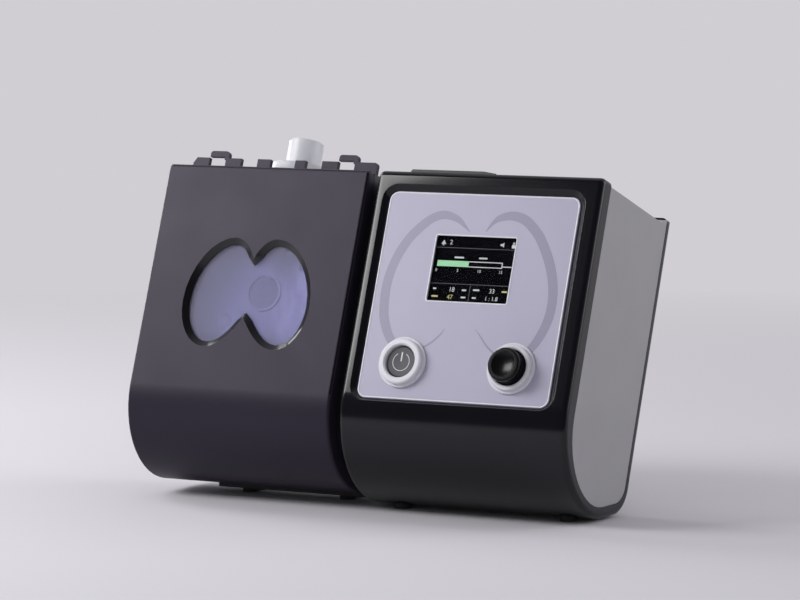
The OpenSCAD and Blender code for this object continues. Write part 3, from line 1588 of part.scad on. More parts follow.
module tank_lid() {
    arm_t = 5;
    arm_gap = 0.4;
    color([0.86, 0.86, 0.89, 0.7])
    lean_frame()
    difference() {
        union() {
            upward(lid_v0, lid_v1)
            rounded_rect(tank_x0, tank_x1, tank_w0, tank_w1, tank_corner);
            translate([hum_mid, port_w, lid_v1 - eps])
            cylinder(h = boss_top - lid_v1, r1 = boss_r + 2, r2 = boss_r, $fn = 96);
            // Arms either side of each ear
            for (s = [-1, 1], t = [-1, 1])
            along_x(hum_mid + s * hinge_side + t * (2.5 + arm_gap + arm_t / 2) - arm_t / 2,
                    hum_mid + s * hinge_side + t * (2.5 + arm_gap + arm_t / 2) + arm_t / 2) {
                translate([hinge_w, hinge_v])
                circle(r = hinge_knuckle_r, $fn = 48);
                translate([tank_w1 - 2, lid_v1 - 4])
                square([hinge_w - tank_w1 + 2, 4]);
            }
        }
        upward(lid_v0 - 1, lid_v1 - lid_top_t)
        rounded_rect(tank_x0 + tank_wall, tank_x1 - tank_wall,
            tank_w0 + tank_wall, tank_w1 - tank_wall, tank_corner - tank_wall);
        rod_v(hum_mid, port_w, lid_v1 - lid_top_t - 1, boss_top - 2.4, boss_r - 3, 96);
        rod_v(hum_mid, port_w, lid_v1, boss_top + 1, port_r + 1, 96);
        rod_x(duct_w, air_v, tank_x1 - 4, tank_x1 + 1, lid_inlet_r);
        for (s = [-1, 1])
        rod_x(hinge_w, hinge_v, hum_mid + s * hinge_side - 12,
            hum_mid + s * hinge_side + 12, hinge_pin_r + run, 32);
    }
}

// 22 mm hose port with a collar and a spigot held in the lid's boss
module outlet_port() {
    root_r = port_r + 0.9;
    color([0.9, 0.9, 0.92, 0.85])
    lean_frame()
    translate([hum_mid, port_w, 0])
    rotate_extrude($fn = 128)
    polygon([[port_bore, boss_top - 5], [root_r, boss_top - 5], [root_r, boss_top + 0.05],
             [collar_r, boss_top + 0.05], [collar_r, boss_top + 1.6], [port_r, boss_top + 2.4],
             [port_r, port_top - 0.8], [port_r - 0.6, port_top], [port_bore + 0.3, port_top],
             [port_bore, port_top - 0.3]]);
}

module port_seal() {
    color([0.4, 0.45, 0.5])
    lean_frame()
    translate([hum_mid, port_w, boss_top - 5])
    difference() {
        translate([0, 0, -1.6])
        cylinder(h = 1.5, r = port_r + 2, $fn = 64);
        translate([0, 0, -3])
        cylinder(h = 6, r = port_bore, $fn = 64);
    }
}

front_case();
mid_housing();
rear_cover();
control_panel();
lcd_lens();
lcd_module();
power_ring();
power_button();
power_switch();
knob_ring();
knob();
knob_shaft();
encoder();
encoder_plunger();
control_board();
main_board();
blower_front();
blower_back();
impeller();
blower_motor();
blower_mounts();
air_duct();
outlet_nozzle();
air_filter();
filter_door();
filter_door_pin();
power_socket();
card_slot();
speaker();
dock_socket();
release_button();
release_spring();
case_screws();
main_feet();
front_cover();
window_pane();
humidifier_housing();
humidifier_base();
tank_collar();
inlet_duct();
inlet_seal();
heater_plate();
heater_frame();
humidifier_board();
dock_connector();
humidifier_screws();
humidifier_feet();
tank_body();
tank_base_plate();
lid_seal();
lid_hinge_pins();
tank_lid();
outlet_port();
port_seal();
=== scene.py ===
"""Looks of a bilevel pap machine with a docked heated humidifier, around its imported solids.

Lengths are in millimetres in the leaning frame that both units share: u across to the right, w back
through the body, v up the front face, zero at the top front edge. leaning() turns them into metres.
"""
import json
import math

import bmesh
import bpy
import numpy as np
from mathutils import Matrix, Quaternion, Vector


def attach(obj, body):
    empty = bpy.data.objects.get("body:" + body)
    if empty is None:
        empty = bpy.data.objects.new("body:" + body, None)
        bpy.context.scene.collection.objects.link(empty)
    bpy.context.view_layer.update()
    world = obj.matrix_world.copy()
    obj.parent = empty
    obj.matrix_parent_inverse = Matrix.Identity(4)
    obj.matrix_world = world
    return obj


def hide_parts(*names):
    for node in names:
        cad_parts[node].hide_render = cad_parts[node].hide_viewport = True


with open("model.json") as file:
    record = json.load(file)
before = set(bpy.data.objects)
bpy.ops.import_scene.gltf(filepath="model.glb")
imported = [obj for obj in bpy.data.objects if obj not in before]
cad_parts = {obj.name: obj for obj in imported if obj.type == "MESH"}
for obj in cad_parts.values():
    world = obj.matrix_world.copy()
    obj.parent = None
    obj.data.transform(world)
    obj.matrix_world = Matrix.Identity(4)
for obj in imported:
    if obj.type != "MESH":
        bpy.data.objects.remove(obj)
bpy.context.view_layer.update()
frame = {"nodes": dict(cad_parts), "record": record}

MM = 0.001
LEAN = math.radians(20)
FRONT = (0, -math.cos(LEAN), math.sin(LEAN))
# Height of the top front edge, and how far it lies before the middle of the part's depth
FACE_H = 203.0
Y_SHIFT = -18.9195

# Planes and places taken from the solids. An outline gives its left, right, lower and upper edge.
PANEL_FACE = 0.8
PANEL = (8.8, 136.5, -140.5, -12.5)
PANEL_R = 6.0
SCREEN = (45.15, 98.15, -79.0, -39.0)
LCD_FACE = 3.35
CONTROL_V = -117.9
BUTTON_X = 36.45
BUTTON_FACE = PANEL_FACE - 2.4
TANK_DISC_CENTRE = (-76.7, 17.5, -75.4)
TANK_DISC_EDGE = (10.2, 10.8)

# The slope around the window: how squarely its normal faces the front, and how far up the lean it starts
SLOPE_FACING = (0.7, 0.95)
SLOPE_FOOT = 70.0


def leaning(u, w, v):
    """World place of points of the leaning frame, tilted back by LEAN about the top front edge."""
    u, w, v = np.broadcast_arrays(u, w, v)
    y = v * math.sin(LEAN) + w * math.cos(LEAN) + Y_SHIFT
    z = FACE_H + v * math.cos(LEAN) - w * math.sin(LEAN)
    return np.stack([u, y, z], -1) * MM


# Meshes


def mesh_piece(name, parts, finish, body, smooth=True):
    """A piece from several surfaces, each a list of points and a list of faces, joined one after the other."""
    points, faces, start = [], [], 0
    for some_points, some_faces in parts:
        some_points = np.asarray(some_points, float).reshape(-1, 3)
        points.append(some_points)
        faces += [[start + k for k in face] for face in np.asarray(some_faces).tolist()]
        start += len(some_points)
    mesh = bpy.data.meshes.new(name)
    mesh.from_pydata(np.concatenate(points).tolist(), [], faces)
    mesh.validate()
    mesh.polygons.foreach_set("use_smooth", np.full(len(mesh.polygons), smooth))
    mesh.materials.append(finish)
    piece = bpy.data.objects.new(name, mesh)
    bpy.context.scene.collection.objects.link(piece)
    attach(piece, body)
    return piece


def grid(points, wrap_columns=False):
    """Surface through rows and columns of points: each cell is one face, and wrapped columns join their ends."""
    rows, columns = points.shape[:2]
    i = np.arange(rows - 1)[:, None]
    j = np.arange(columns if wrap_columns else columns - 1)[None]
    corners = [(i, j), (i, j + 1), (i + 1, j + 1), (i + 1, j)]
    faces = np.stack([a * columns + b % columns for a, b in corners], -1)
    return points.reshape(-1, 3), faces.reshape(-1, 4)


def rounded_loop(u0, u1, v0, v1, r, steps=12):
    """Outline of a rectangle with quarter circles of radius r in its corners, anticlockwise."""
    a = np.linspace(0, math.pi / 2, steps)
    centres = [(u1 - r, v1 - r), (u0 + r, v1 - r), (u0 + r, v0 + r), (u1 - r, v0 + r)]
    return np.concatenate([np.stack([cu + r * np.cos(a + k * math.pi / 2),
                                     cv + r * np.sin(a + k * math.pi / 2)], -1)
                           for k, (cu, cv) in enumerate(centres)])


def flat_shape(loop, w):
    """One flat face inside an outline, at depth w, facing the front."""
    points = leaning(loop[:, 0], w, loop[:, 1])
    return points, [list(range(len(loop)))]


def raised_bar(u0, u1, v0, v1, w, r=0.1):
    """Flat rounded bar at depth w."""
    return flat_shape(rounded_loop(u0, u1, v0, v1, min(r, (u1 - u0) / 2.01, (v1 - v0) / 2.01), 4), w)


MERGED_WITHIN = 2e-6
FLAT_WITHIN = 0.4
SHARP_FROM = 28


def joined_copy(node, body, finish):
    """The node's surface with its doubled corners merged, smooth across bends below SHARP_FROM degrees."""
    source = frame["nodes"][node]
    form = bmesh.new()
    form.from_mesh(source.data)
    bmesh.ops.remove_doubles(form, verts=form.verts, dist=MERGED_WITHIN)
    bmesh.ops.dissolve_limit(form, angle_limit=math.radians(FLAT_WITHIN), verts=form.verts, edges=form.edges)
    mesh = bpy.data.meshes.new(node + "_skin")
    form.to_mesh(mesh)
    form.free()
    mesh.polygons.foreach_set("use_smooth", np.ones(len(mesh.polygons), bool))
    mesh.set_sharp_from_angle(angle=math.radians(SHARP_FROM))
    mesh.materials.clear()
    mesh.materials.append(finish)
    piece = bpy.data.objects.new(node + "_skin", mesh)
    bpy.context.scene.collection.objects.link(piece)
    weighted = piece.modifiers.new("flat faces lead", "WEIGHTED_NORMAL")
    weighted.keep_sharp = True
    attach(piece, body)
    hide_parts(node)
    return piece


# Finishes


def node_in(tree, kind, **values):
    """A new node; values that name a socket set it, and the others are the node's own settings."""
    node = tree.nodes.new(kind)
    for key, value in values.items():
        socket = node.inputs.get(key.replace("_", " "))
        if socket is not None:
            socket.default_value = value
        else:
            setattr(node, key, value)
    return node


def noise(tree, size, detail=3.0, roughness=0.5):
    """Noise on Object coordinates, whose blotches are about size millimetres across."""
    place = node_in(tree, "ShaderNodeTexCoord")
    pattern = node_in(tree, "ShaderNodeTexNoise", Scale=1 / (size * MM), Detail=detail, Roughness=roughness)
    tree.links.new(place.outputs["Object"], pattern.inputs["Vector"])
    return pattern.outputs["Fac"]


def spread(tree, value, low, high, start=0.3, end=0.7):
    """A value between start and end becomes one between low and high."""
    range_node = node_in(tree, "ShaderNodeMapRange")
    for key, bound in (("From Min", start), ("From Max", end), ("To Min", low), ("To Max", high)):
        range_node.inputs[key].default_value = bound
    tree.links.new(value, range_node.inputs["Value"])
    return range_node.outputs["Result"]


def tinted(tree, value, first, second):
    """Colour between two colours by value."""
    mix = node_in(tree, "ShaderNodeMix", data_type="RGBA")
    mix.inputs[6].default_value = (*first, 1)
    mix.inputs[7].default_value = (*second, 1)
    tree.links.new(value, mix.inputs[0])
    return mix.outputs[2]


def over(tree, value, below, colour):
    """Colour laid over what the socket below gives, as far as value says."""
    mix = node_in(tree, "ShaderNodeMix", data_type="RGBA")
    mix.inputs[7].default_value = (*colour, 1)
    tree.links.new(value, mix.inputs[0])
    tree.links.new(below, mix.inputs[6])
    return mix.outputs[2]


def bump(tree, height, depth, below=None):
    """Normal of a surface raised by height times depth millimetres."""
    raise_node = node_in(tree, "ShaderNodeBump", Strength=1.0, Distance=depth * MM)
    tree.links.new(height, raise_node.inputs["Height"])
    if below is not None:
        tree.links.new(below, raise_node.inputs["Normal"])
    return raise_node.outputs["Normal"]


def edge_mask(tree, radius):
    """1 on sharp outer edges and 0 on flat faces, from how far a rounded normal leans from the true one."""
    rounded = node_in(tree, "ShaderNodeBevel", samples=4, Radius=radius * MM)
    true = node_in(tree, "ShaderNodeNewGeometry")
    dot = node_in(tree, "ShaderNodeVectorMath", operation="DOT_PRODUCT")
    tree.links.new(rounded.outputs["Normal"], dot.inputs[0])
    tree.links.new(true.outputs["Normal"], dot.inputs[1])
    return rounded.outputs["Normal"], spread(tree, dot.outputs["Value"], 1.0, 0.0, 0.75, 0.995)


def plastic(name, colour, roughness, grain=0.5, depth=0.01, mottle=0.05, edge=0.0, round_mm=0.0,
            specular=0.5, sheen=(1, 1, 1)):
    """Moulded plastic: faint cloudy tint, spark-eroded grain, uneven gloss and rubbed edges."""
    material = bpy.data.materials.new(name)
    material.use_nodes = True
    tree = material.node_tree
    surface = tree.nodes["Principled BSDF"]
    surface.inputs["Specular IOR Level"].default_value = specular
    surface.inputs["Specular Tint"].default_value = (*sheen, 1)
    cloud = noise(tree, 45, 2)
    colour = np.array(colour)
    tint = tinted(tree, spread(tree, cloud, 0, 1), colour * (1 - mottle), colour * (1 + mottle))
    normal = None
    if round_mm:
        normal, rim = edge_mask(tree, round_mm)
        if edge:
            rub = node_in(tree, "ShaderNodeMath", operation="MULTIPLY")
            tree.links.new(rim, rub.inputs[0])
            tree.links.new(spread(tree, noise(tree, 6, 5), 0.2, edge), rub.inputs[1])
            tint = over(tree, rub.outputs[0], tint, colour * 0.6 + 0.12)
    tree.links.new(tint, surface.inputs["Base Color"])
    tree.links.new(spread(tree, noise(tree, 30, 5), roughness * 0.95, roughness * 1.05),
                   surface.inputs["Roughness"])
    tree.links.new(bump(tree, noise(tree, grain, 2), depth, normal), surface.inputs["Normal"])
    return material


def metal(name, colour, roughness, brush):
    """Bare metal with fine scratches, brushed along the axis whose number in brush is smallest."""
    scratch = 0.3
    material = bpy.data.materials.new(name)
    material.use_nodes = True
    tree = material.node_tree
    surface = tree.nodes["Principled BSDF"]
    surface.inputs["Metallic"].default_value = 1.0
    place = node_in(tree, "ShaderNodeTexCoord")
    stretch = node_in(tree, "ShaderNodeMapping", Scale=brush)
    tree.links.new(place.outputs["Object"], stretch.inputs["Vector"])
    lines = node_in(tree, "ShaderNodeTexNoise", Scale=1 / (scratch * MM), Detail=4.0)
    tree.links.new(stretch.outputs["Vector"], lines.inputs["Vector"])
    colour = np.array(colour)
    tree.links.new(tinted(tree, spread(tree, lines.outputs["Fac"], 0, 1), colour * 0.85, colour * 1.08),
                   surface.inputs["Base Color"])
    tree.links.new(spread(tree, lines.outputs["Fac"], roughness * 0.7, roughness * 1.3),
                   surface.inputs["Roughness"])
    tree.links.new(bump(tree, lines.outputs["Fac"], 0.01), surface.inputs["Normal"])
    return material


def clear(name, colour, roughness, milk, ripple=2.0, depth=0.02, ior=1.49, passed=1.0):
    """Clear plastic: milk is its share of scattering, and passed the share of a lamp's light that goes through."""
    material = bpy.data.materials.new(name)
    material.use_nodes = True
    tree = material.node_tree
    surface = tree.nodes["Principled BSDF"]
    surface.inputs["IOR"].default_value = ior
    surface.inputs["Transmission Weight"].default_value = 1 - milk
    colour = np.array(colour)
    cloud = spread(tree, noise(tree, 14, 3), 0, 1)
    tree.links.new(tinted(tree, cloud, colour * 0.97, np.minimum(colour * 1.03, 1)), surface.inputs["Base Color"])
    tree.links.new(spread(tree, noise(tree, 20, 2), roughness * 0.9, roughness * 1.1),
                   surface.inputs["Roughness"])
    tree.links.new(bump(tree, noise(tree, ripple, 2), depth), surface.inputs["Normal"])
    path = node_in(tree, "ShaderNodeLightPath")
    open_way = node_in(tree, "ShaderNodeBsdfTransparent", Color=(*(colour * passed), 1))
    way = node_in(tree, "ShaderNodeMixShader")
    tree.links.new(path.outputs["Is Shadow Ray"], way.inputs[0])
    tree.links.new(surface.outputs[0], way.inputs[1])
    tree.links.new(open_way.outputs[0], way.inputs[2])
    tree.links.new(way.outputs[0], tree.nodes["Material Output"].inputs["Surface"])
    return material


# Tank colours: its own blue; a paler tint that is a painted reflection, laid in streaks to the right of the disc; and
# the disc's darker tint. The last pair gives where, in millimetres across, that painted reflection starts and where it
# is full.
TANK_BLUE = (0.15, 0.15, 0.23)
TANK_REFLECTION_TINT = (0.46, 0.46, 0.56)
TANK_DISC = (0.08, 0.08, 0.13)
TANK_REFLECTION_FROM, TANK_REFLECTION_FULL = -80, -50


def tank_plastic(name):
    """Blue clear tank, darker inside the disc moulded on its front, and with a painted reflection, paler and streaked,
    to the right of it.
    """
    material = clear(name, TANK_BLUE, 0.3, milk=0.6, ripple=3.0, ior=1.12, passed=0.6)
    tree = material.node_tree
    surface = tree.nodes["Principled BSDF"]
    place = node_in(tree, "ShaderNodeTexCoord")
    axes = node_in(tree, "ShaderNodeSeparateXYZ")
    tree.links.new(place.outputs["Object"], axes.inputs[0])
    away = node_in(tree, "ShaderNodeVectorMath", operation="DISTANCE")
    away.inputs[1].default_value = leaning(*TANK_DISC_CENTRE).tolist()
    tree.links.new(place.outputs["Object"], away.inputs[0])
    stretch = node_in(tree, "ShaderNodeMapping", Scale=(1, 0.4, 0.4), Rotation=(0, math.radians(25), 0))
    tree.links.new(place.outputs["Object"], stretch.inputs["Vector"])
    reflection_streaks = node_in(tree, "ShaderNodeTexNoise", Scale=160.0, Detail=5.0, Roughness=0.6)
    tree.links.new(stretch.outputs["Vector"], reflection_streaks.inputs["Vector"])
    # Painted reflection: paler streaks that come in towards the right of the tank
    painted_reflection = node_in(tree, "ShaderNodeMath", operation="MULTIPLY")
    tree.links.new(spread(tree, axes.outputs["X"], 0, 1, TANK_REFLECTION_FROM * MM, TANK_REFLECTION_FULL * MM), painted_reflection.inputs[0])
    tree.links.new(spread(tree, reflection_streaks.outputs["Fac"], 0.45, 1.0, 0.35, 0.65), painted_reflection.inputs[1])
    tint = over(tree, painted_reflection.outputs[0], surface.inputs["Base Color"].links[0].from_socket, TANK_REFLECTION_TINT)
    inside = spread(tree, away.outputs["Value"], 1, 0, *(MM * edge for edge in TANK_DISC_EDGE))
    tree.links.new(over(tree, inside, tint, TANK_DISC), surface.inputs["Base Color"])
    return material


def board(name):
    """Circuit board: green mask over copper tracks on a square lattice, with small tinned pads."""
    material = bpy.data.materials.new(name)
    material.use_nodes = True
    tree = material.node_tree
    surface = tree.nodes["Principled BSDF"]
    place = node_in(tree, "ShaderNodeTexCoord")
    cells = node_in(tree, "ShaderNodeTexVoronoi", distance="MANHATTAN", Scale=380.0)
    tree.links.new(place.outputs["Object"], cells.inputs["Vector"])
    mask, copper, tin = (0.012, 0.1, 0.045), (0.02, 0.17, 0.07), (0.55, 0.55, 0.53)
    tracks = tinted(tree, spread(tree, cells.outputs["Distance"], 0, 1, 0.32, 0.4), mask, copper)
    pads = over(tree, spread(tree, cells.outputs["Distance"], 1, 0, 0.05, 0.08), tracks, tin)
    tree.links.new(pads, surface.inputs["Base Color"])
    tree.links.new(spread(tree, noise(tree, 5), 0.25, 0.45), surface.inputs["Roughness"])
    tree.links.new(bump(tree, cells.outputs["Distance"], 0.03), surface.inputs["Normal"])
    return material


def felt(name, colour):
    """Fibre filter: fine tangled threads with deep pores."""
    material = bpy.data.materials.new(name)
    material.use_nodes = True
    tree = material.node_tree
    surface = tree.nodes["Principled BSDF"]
    threads = noise(tree, 0.7, 6, 0.7)
    colour = np.array(colour)
    tint = tinted(tree, spread(tree, threads, 0, 1), colour * 0.6, colour * 1.3)
    tree.links.new(tint, surface.inputs["Base Color"])
    surface.inputs["Roughness"].default_value = 0.95
    tree.links.new(bump(tree, threads, 0.4), surface.inputs["Normal"])
    return material


def glowing(name, colour, strength):
    """Lit dots of a screen: an even glow broken by the fine lattice of its pixels."""
    material = bpy.data.materials.new(name)
    material.use_nodes = True
    tree = material.node_tree
    surface = tree.nodes["Principled BSDF"]
    surface.inputs["Base Color"].default_value = (0.01, 0.01, 0.012, 1)
    surface.inputs["Emission Strength"].default_value = strength
    place = node_in(tree, "ShaderNodeTexCoord")
    lattice = node_in(tree, "ShaderNodeTexWave", Scale=900.0, bands_direction="X")
    tree.links.new(place.outputs["Object"], lattice.inputs["Vector"])
    colour = np.array(colour)
    tree.links.new(tinted(tree, lattice.outputs["Fac"], colour * 0.85, colour), surface.inputs["Emission Color"])
    surface.inputs["Roughness"].default_value = 0.6
    surface.inputs["Specular IOR Level"].default_value = 0.1
    return material


finishes = {
    "case_black": plastic("gloss_black_case", (0.005, 0.0045, 0.007), 0.14, grain=3.0, depth=0.004, mottle=0.1,
                          edge=0.3, round_mm=0.5, specular=0.36),
    "cover_dark": plastic("satin_dark_cover", (0.02, 0.017, 0.028), 0.42, grain=0.35, depth=0.008, mottle=0.04,
                          edge=0.3, round_mm=0.5, specular=0.24, sheen=(0.92, 0.84, 1.0)),
    "housing_grey": plastic("matte_grey_housing", (0.3, 0.295, 0.31), 0.55, grain=0.4, depth=0.02, mottle=0.03,
                            edge=0.3, round_mm=0.3, specular=0.4),
    "panel_lilac": plastic("satin_lilac_panel", (0.405, 0.39, 0.5), 0.38, grain=0.6, depth=0.004, mottle=0.015,
                           specular=0.4),
    "screen_black": clear("screen_glass", (0.97, 0.97, 1.0), 0.05, milk=0.0, ripple=30.0, depth=0.0003, ior=1.1),
    "ring_pale": plastic("silver_paint_ring", (0.66, 0.655, 0.7), 0.24, depth=0.004, mottle=0.02, round_mm=0.25),
    "button_grey": plastic("soft_grey_button", (0.06, 0.058, 0.068), 0.5, grain=0.3, depth=0.02, edge=0.2,
                           round_mm=0.3),
    "knob_black": plastic("gloss_black_knob", (0.003, 0.003, 0.004), 0.24, grain=2.0, depth=0.002, mottle=0.1,
                          edge=0.1, round_mm=0.3, specular=0.22),
    "inner_black": plastic("black_moulding", (0.028, 0.028, 0.032), 0.5, grain=0.4, depth=0.02, mottle=0.08,
                           edge=0.3, round_mm=0.3),
    "duct_grey": plastic("pale_duct", (0.5, 0.5, 0.49), 0.45, grain=0.6, depth=0.02, mottle=0.04, edge=0.1,
                         round_mm=0.3),
    "board_green": board("green_board"),
    "steel": metal("brushed_steel", (0.6, 0.6, 0.62), 0.3, brush=(0.15, 1, 1)),
    "aluminium": metal("turned_aluminium", (0.78, 0.78, 0.8), 0.28, brush=(1, 1, 0.15)),
    "rubber_black": plastic("black_rubber", (0.02, 0.02, 0.021), 0.8, grain=0.3, depth=0.04, mottle=0.15),
    "silicone": plastic("milky_silicone", (0.72, 0.73, 0.77), 0.5, grain=0.8, depth=0.02, mottle=0.03),
    "filter_felt": felt("filter_felt", (0.33, 0.38, 0.4)),
    "window_clear": clear("clear_pane", (0.55, 0.545, 0.7), 0.1, milk=0.14, ripple=12.0, depth=0.004, ior=1.08,
                          passed=1.8),
    "tank_blue": tank_plastic("blue_tank_plastic"),
    "lid_white": clear("milky_lid_plastic", (0.74, 0.74, 0.77), 0.35, milk=0.6, ripple=3.0, ior=1.4, passed=0.5),
    "impeller_white": plastic("white_impeller", (0.78, 0.78, 0.78), 0.35, mottle=0.03),
}
stripe_ink = plastic("panel_stripe_ink", (0.28, 0.262, 0.36), 0.34, grain=0.6, depth=0.004, mottle=0.02, specular=0.4)
edge_silver = plastic("polished_edge", (0.74, 0.735, 0.79), 0.2, grain=0.6, depth=0.004, mottle=0.02)
screen_dark = plastic("dark_screen_field", (0.002, 0.002, 0.003), 0.6, depth=0.002, mottle=0.1, specular=0.0)
glow_white = glowing("screen_white", (0.75, 0.78, 0.78), 0.8)
glow_green = glowing("screen_green", (0.36, 0.72, 0.42), 0.95)
glow_dim = glowing("screen_dim", (0.3, 0.32, 0.34), 0.45)
glow_amber = glowing("screen_amber", (0.75, 0.7, 0.3), 0.7)
slope_gloss = plastic("polished_window_slope", (0.004, 0.004, 0.006), 0.2, grain=3.0, depth=0.003, mottle=0.1)
mark_white = plastic("button_mark_white", (0.62, 0.62, 0.64), 0.4, depth=0.004, mottle=0.02)

node_slots = {row["node"]: row["material_slot"] for row in frame["record"]["subparts"]}
for node, shown in frame["nodes"].items():
    shown.data.materials.clear()
    shown.data.materials.append(finishes[node_slots[node]])

# The skins whose curves are cut from flats are drawn smooth
skins = {node: joined_copy(node, body, finishes[node_slots[node]])
         for node, body in (("front_case", "machine"), ("rear_cover", "machine"), ("control_panel", "machine"),
                            ("front_cover", "humidifier"))}


def polished_slope(skin, finish):
    """Give the slope around the window a finish of its own: its faces lean further from the front than the cover's."""
    mesh = skin.data
    normals, centres = np.zeros((2, len(mesh.polygons), 3))
    mesh.polygons.foreach_get("normal", normals.ravel())
    mesh.polygons.foreach_get("center", centres.ravel())
    facing = normals @ FRONT
    height = (centres[:, 1] * math.sin(LEAN) + centres[:, 2] * math.cos(LEAN)) / MM
    low, high = SLOPE_FACING
    slope = (facing > low) & (facing < high) & (height > SLOPE_FOOT) & (centres[:, 0] < 0)
    mesh.materials.append(finish)
    mesh.polygons.foreach_set("material_index", slope.astype(np.int32))


polished_slope(skins["front_cover"], slope_gloss)


# Control panel


def panel_edge():
    """Thin bright bead around the panel: its section is half an oval carried round the outline."""
    u0, u1, v0, v1 = PANEL
    half_width, rise, inset, sunk = 0.5, 0.36, 0.8, 0.05
    loops = []
    for a in np.linspace(0, math.pi, 7):
        s = inset - half_width * math.cos(a)
        outline = rounded_loop(u0 + s, u1 - s, v0 + s, v1 - s, PANEL_R - s, 16)
        loops.append(leaning(outline[:, 0], PANEL_FACE + sunk - rise * math.sin(a), outline[:, 1]))
    return grid(np.stack(loops), wrap_columns=True)


def curve_through(knots, steps=12):
    """Smooth curve through knots: a cubic between each two, whose slope at a knot is that of its neighbours."""
    knots = np.asarray(knots, float)
    slope = np.gradient(knots, axis=0)
    t = np.linspace(0, 1, steps, endpoint=False)[:, None]
    spans = [(2 * t ** 3 - 3 * t ** 2 + 1) * a + (t ** 3 - 2 * t ** 2 + t) * da
             + (3 * t ** 2 - 2 * t ** 3) * b + (t ** 3 - t ** 2) * db
             for a, b, da, db in zip(knots, knots[1:], slope, slope[1:])]
    return np.concatenate(spans + [knots[-1:]])


INK_THICKNESS = 0.03


def tapered_stripe(knots):
    """Flat printed stripe along a curve, whose knots give across, up and half of the width there."""
    u, v, half = curve_through(knots).T
    du, dv = np.gradient(u), np.gradient(v)
    length = np.hypot(du, dv)
    rows = [(u - dv / length * half * k, v + du / length * half * k) for k in (-1, -0.33, 0.33, 1)]
    return grid(np.stack([leaning(a, PANEL_FACE - INK_THICKNESS, b) for a, b in rows]))


# Each runs from a point above the screen, out, down behind a ring and on to a point below the screen
LEFT_STRIPE = ((66.5, -36.2, 0.2), (62.5, -32.7, 1.0), (57.1, -28.7, 1.9), (48.6, -26.3, 2.6),
               (40.8, -28.2, 2.8), (33.7, -33.7, 3.0), (25.9, -42.7, 3.1), (19.8, -55.4, 3.1),
               (17.0, -67.9, 3.1), (17.0, -80.3, 3.1), (19.3, -92.5, 3.1), (26.0, -104.5, 2.7),
               (35.8, -110.2, 1.6), (46.3, -108.4, 0.8), (52.4, -105.3, 0.6), (58.1, -99.8, 0.5),
               (60.7, -95.4, 0.1))
RIGHT_STRIPE = ((77.1, -35.8, 0.2), (78.7, -33.3, 0.7), (81.4, -29.8, 1.3), (85.5, -26.9, 2.2),
                (93.2, -25.4, 2.8), (101.5, -27.5, 3.0), (108.4, -32.8, 3.0), (114.2, -39.3, 3.1),
                (121.2, -51.2, 3.1), (125.9, -63.2, 3.1), (128.0, -75.2, 3.0), (127.2, -87.4, 3.0),
                (123.3, -98.4, 2.9), (117.0, -107.2, 2.3), (106.6, -111.4, 1.4), (97.8, -110.0, 0.8),
                (92.7, -107.2, 0.6), (88.8, -103.8, 0.5), (84.6, -99.1, 0.4), (80.6, -95.1, 0.1))

mesh_piece("panel_edge", [panel_edge()], edge_silver, "machine")
mesh_piece("panel_stripes", [tapered_stripe(LEFT_STRIPE), tapered_stripe(RIGHT_STRIPE)], stripe_ink, "machine")


# Screen, in shares of its width to the right and of its height downwards

FIELD_W = LCD_FACE - 0.03
PICTURE_W = FIELD_W - 0.02


def on_screen(s, t):
    """Place in the face's plane of a point given in shares of the screen."""
    u0, u1, v0, v1 = SCREEN
    return u0 + (u1 - u0) * s, v1 - (v1 - v0) * t


def screen_bar(s0, s1, t0, t1, r=0.1):
    """Lit bar between two shares each way."""
    u0, v1 = on_screen(s0, t0)
    u1, v0 = on_screen(s1, t1)
    return raised_bar(u0, u1, v0, v1, PICTURE_W, r)


def screen_shape(points):
    """Lit flat shape whose corners are given in shares of the screen, anticlockwise."""
    u, v = on_screen(*np.array(points, float).T)
    return flat_shape(np.stack([u, v], -1), PICTURE_W)


def figures(name, text, s, t, height, finish, align="LEFT"):
    """Figures as a flat mesh, set on the screen with their middle height at t."""
    curve = bpy.data.curves.new(name, "FONT")
    curve.body = text
    curve.size = 1.0
    curve.align_x = align
    curve.align_y = "CENTER"
    written = bpy.data.objects.new(name + "_curve", curve)
    bpy.context.scene.collection.objects.link(written)
    mesh = bpy.data.meshes.new_from_object(written)
    bpy.data.objects.remove(written)
    flat = np.zeros(len(mesh.vertices) * 3)
    mesh.vertices.foreach_get("co", flat)
    flat = flat.reshape(-1, 3)
    u, v = on_screen(s, t)
    place = leaning(u + flat[:, 0] * height, PICTURE_W, v + flat[:, 1] * height)
    mesh.vertices.foreach_set("co", place.ravel())
    mesh.materials.clear()
    mesh.materials.append(finish)
    piece = bpy.data.objects.new(name, mesh)
    bpy.context.scene.collection.objects.link(piece)
    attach(piece, "machine")


# Bars are given as left, right, upper and lower share, and shapes by their corners
RULES = ((0.0, 1.0, 0.163, 0.169), (0.0, 1.0, 0.716, 0.722), (0.496, 0.501, 0.73, 0.985))
GAUGE_FILL = (0.035, 0.432, 0.365, 0.455)
GAUGE = ((0.432, 0.855, 0.365, 0.378), (0.432, 0.855, 0.443, 0.456), (0.845, 0.857, 0.365, 0.456),
         (0.857, 0.975, 0.422, 0.436))
GAUGE_LABELS = ((0.24, 0.36, 0.30, 0.325), (0.55, 0.655, 0.30, 0.325))
BELL = ((0.045, 0.115), (0.075, 0.05), (0.105, 0.115))
BELL_TONGUE = (0.066, 0.084, 0.121, 0.135)
HORN = ((0.80, 0.095), (0.835, 0.055), (0.835, 0.135))
HORN_BACK = (0.79, 0.812, 0.08, 0.11)
LOCK_BODY = (0.935, 0.975, 0.09, 0.14)
LOCK_SHACKLE = ((0.944, 0.951, 0.055, 0.09), (0.959, 0.966, 0.055, 0.09), (0.944, 0.966, 0.05, 0.065))
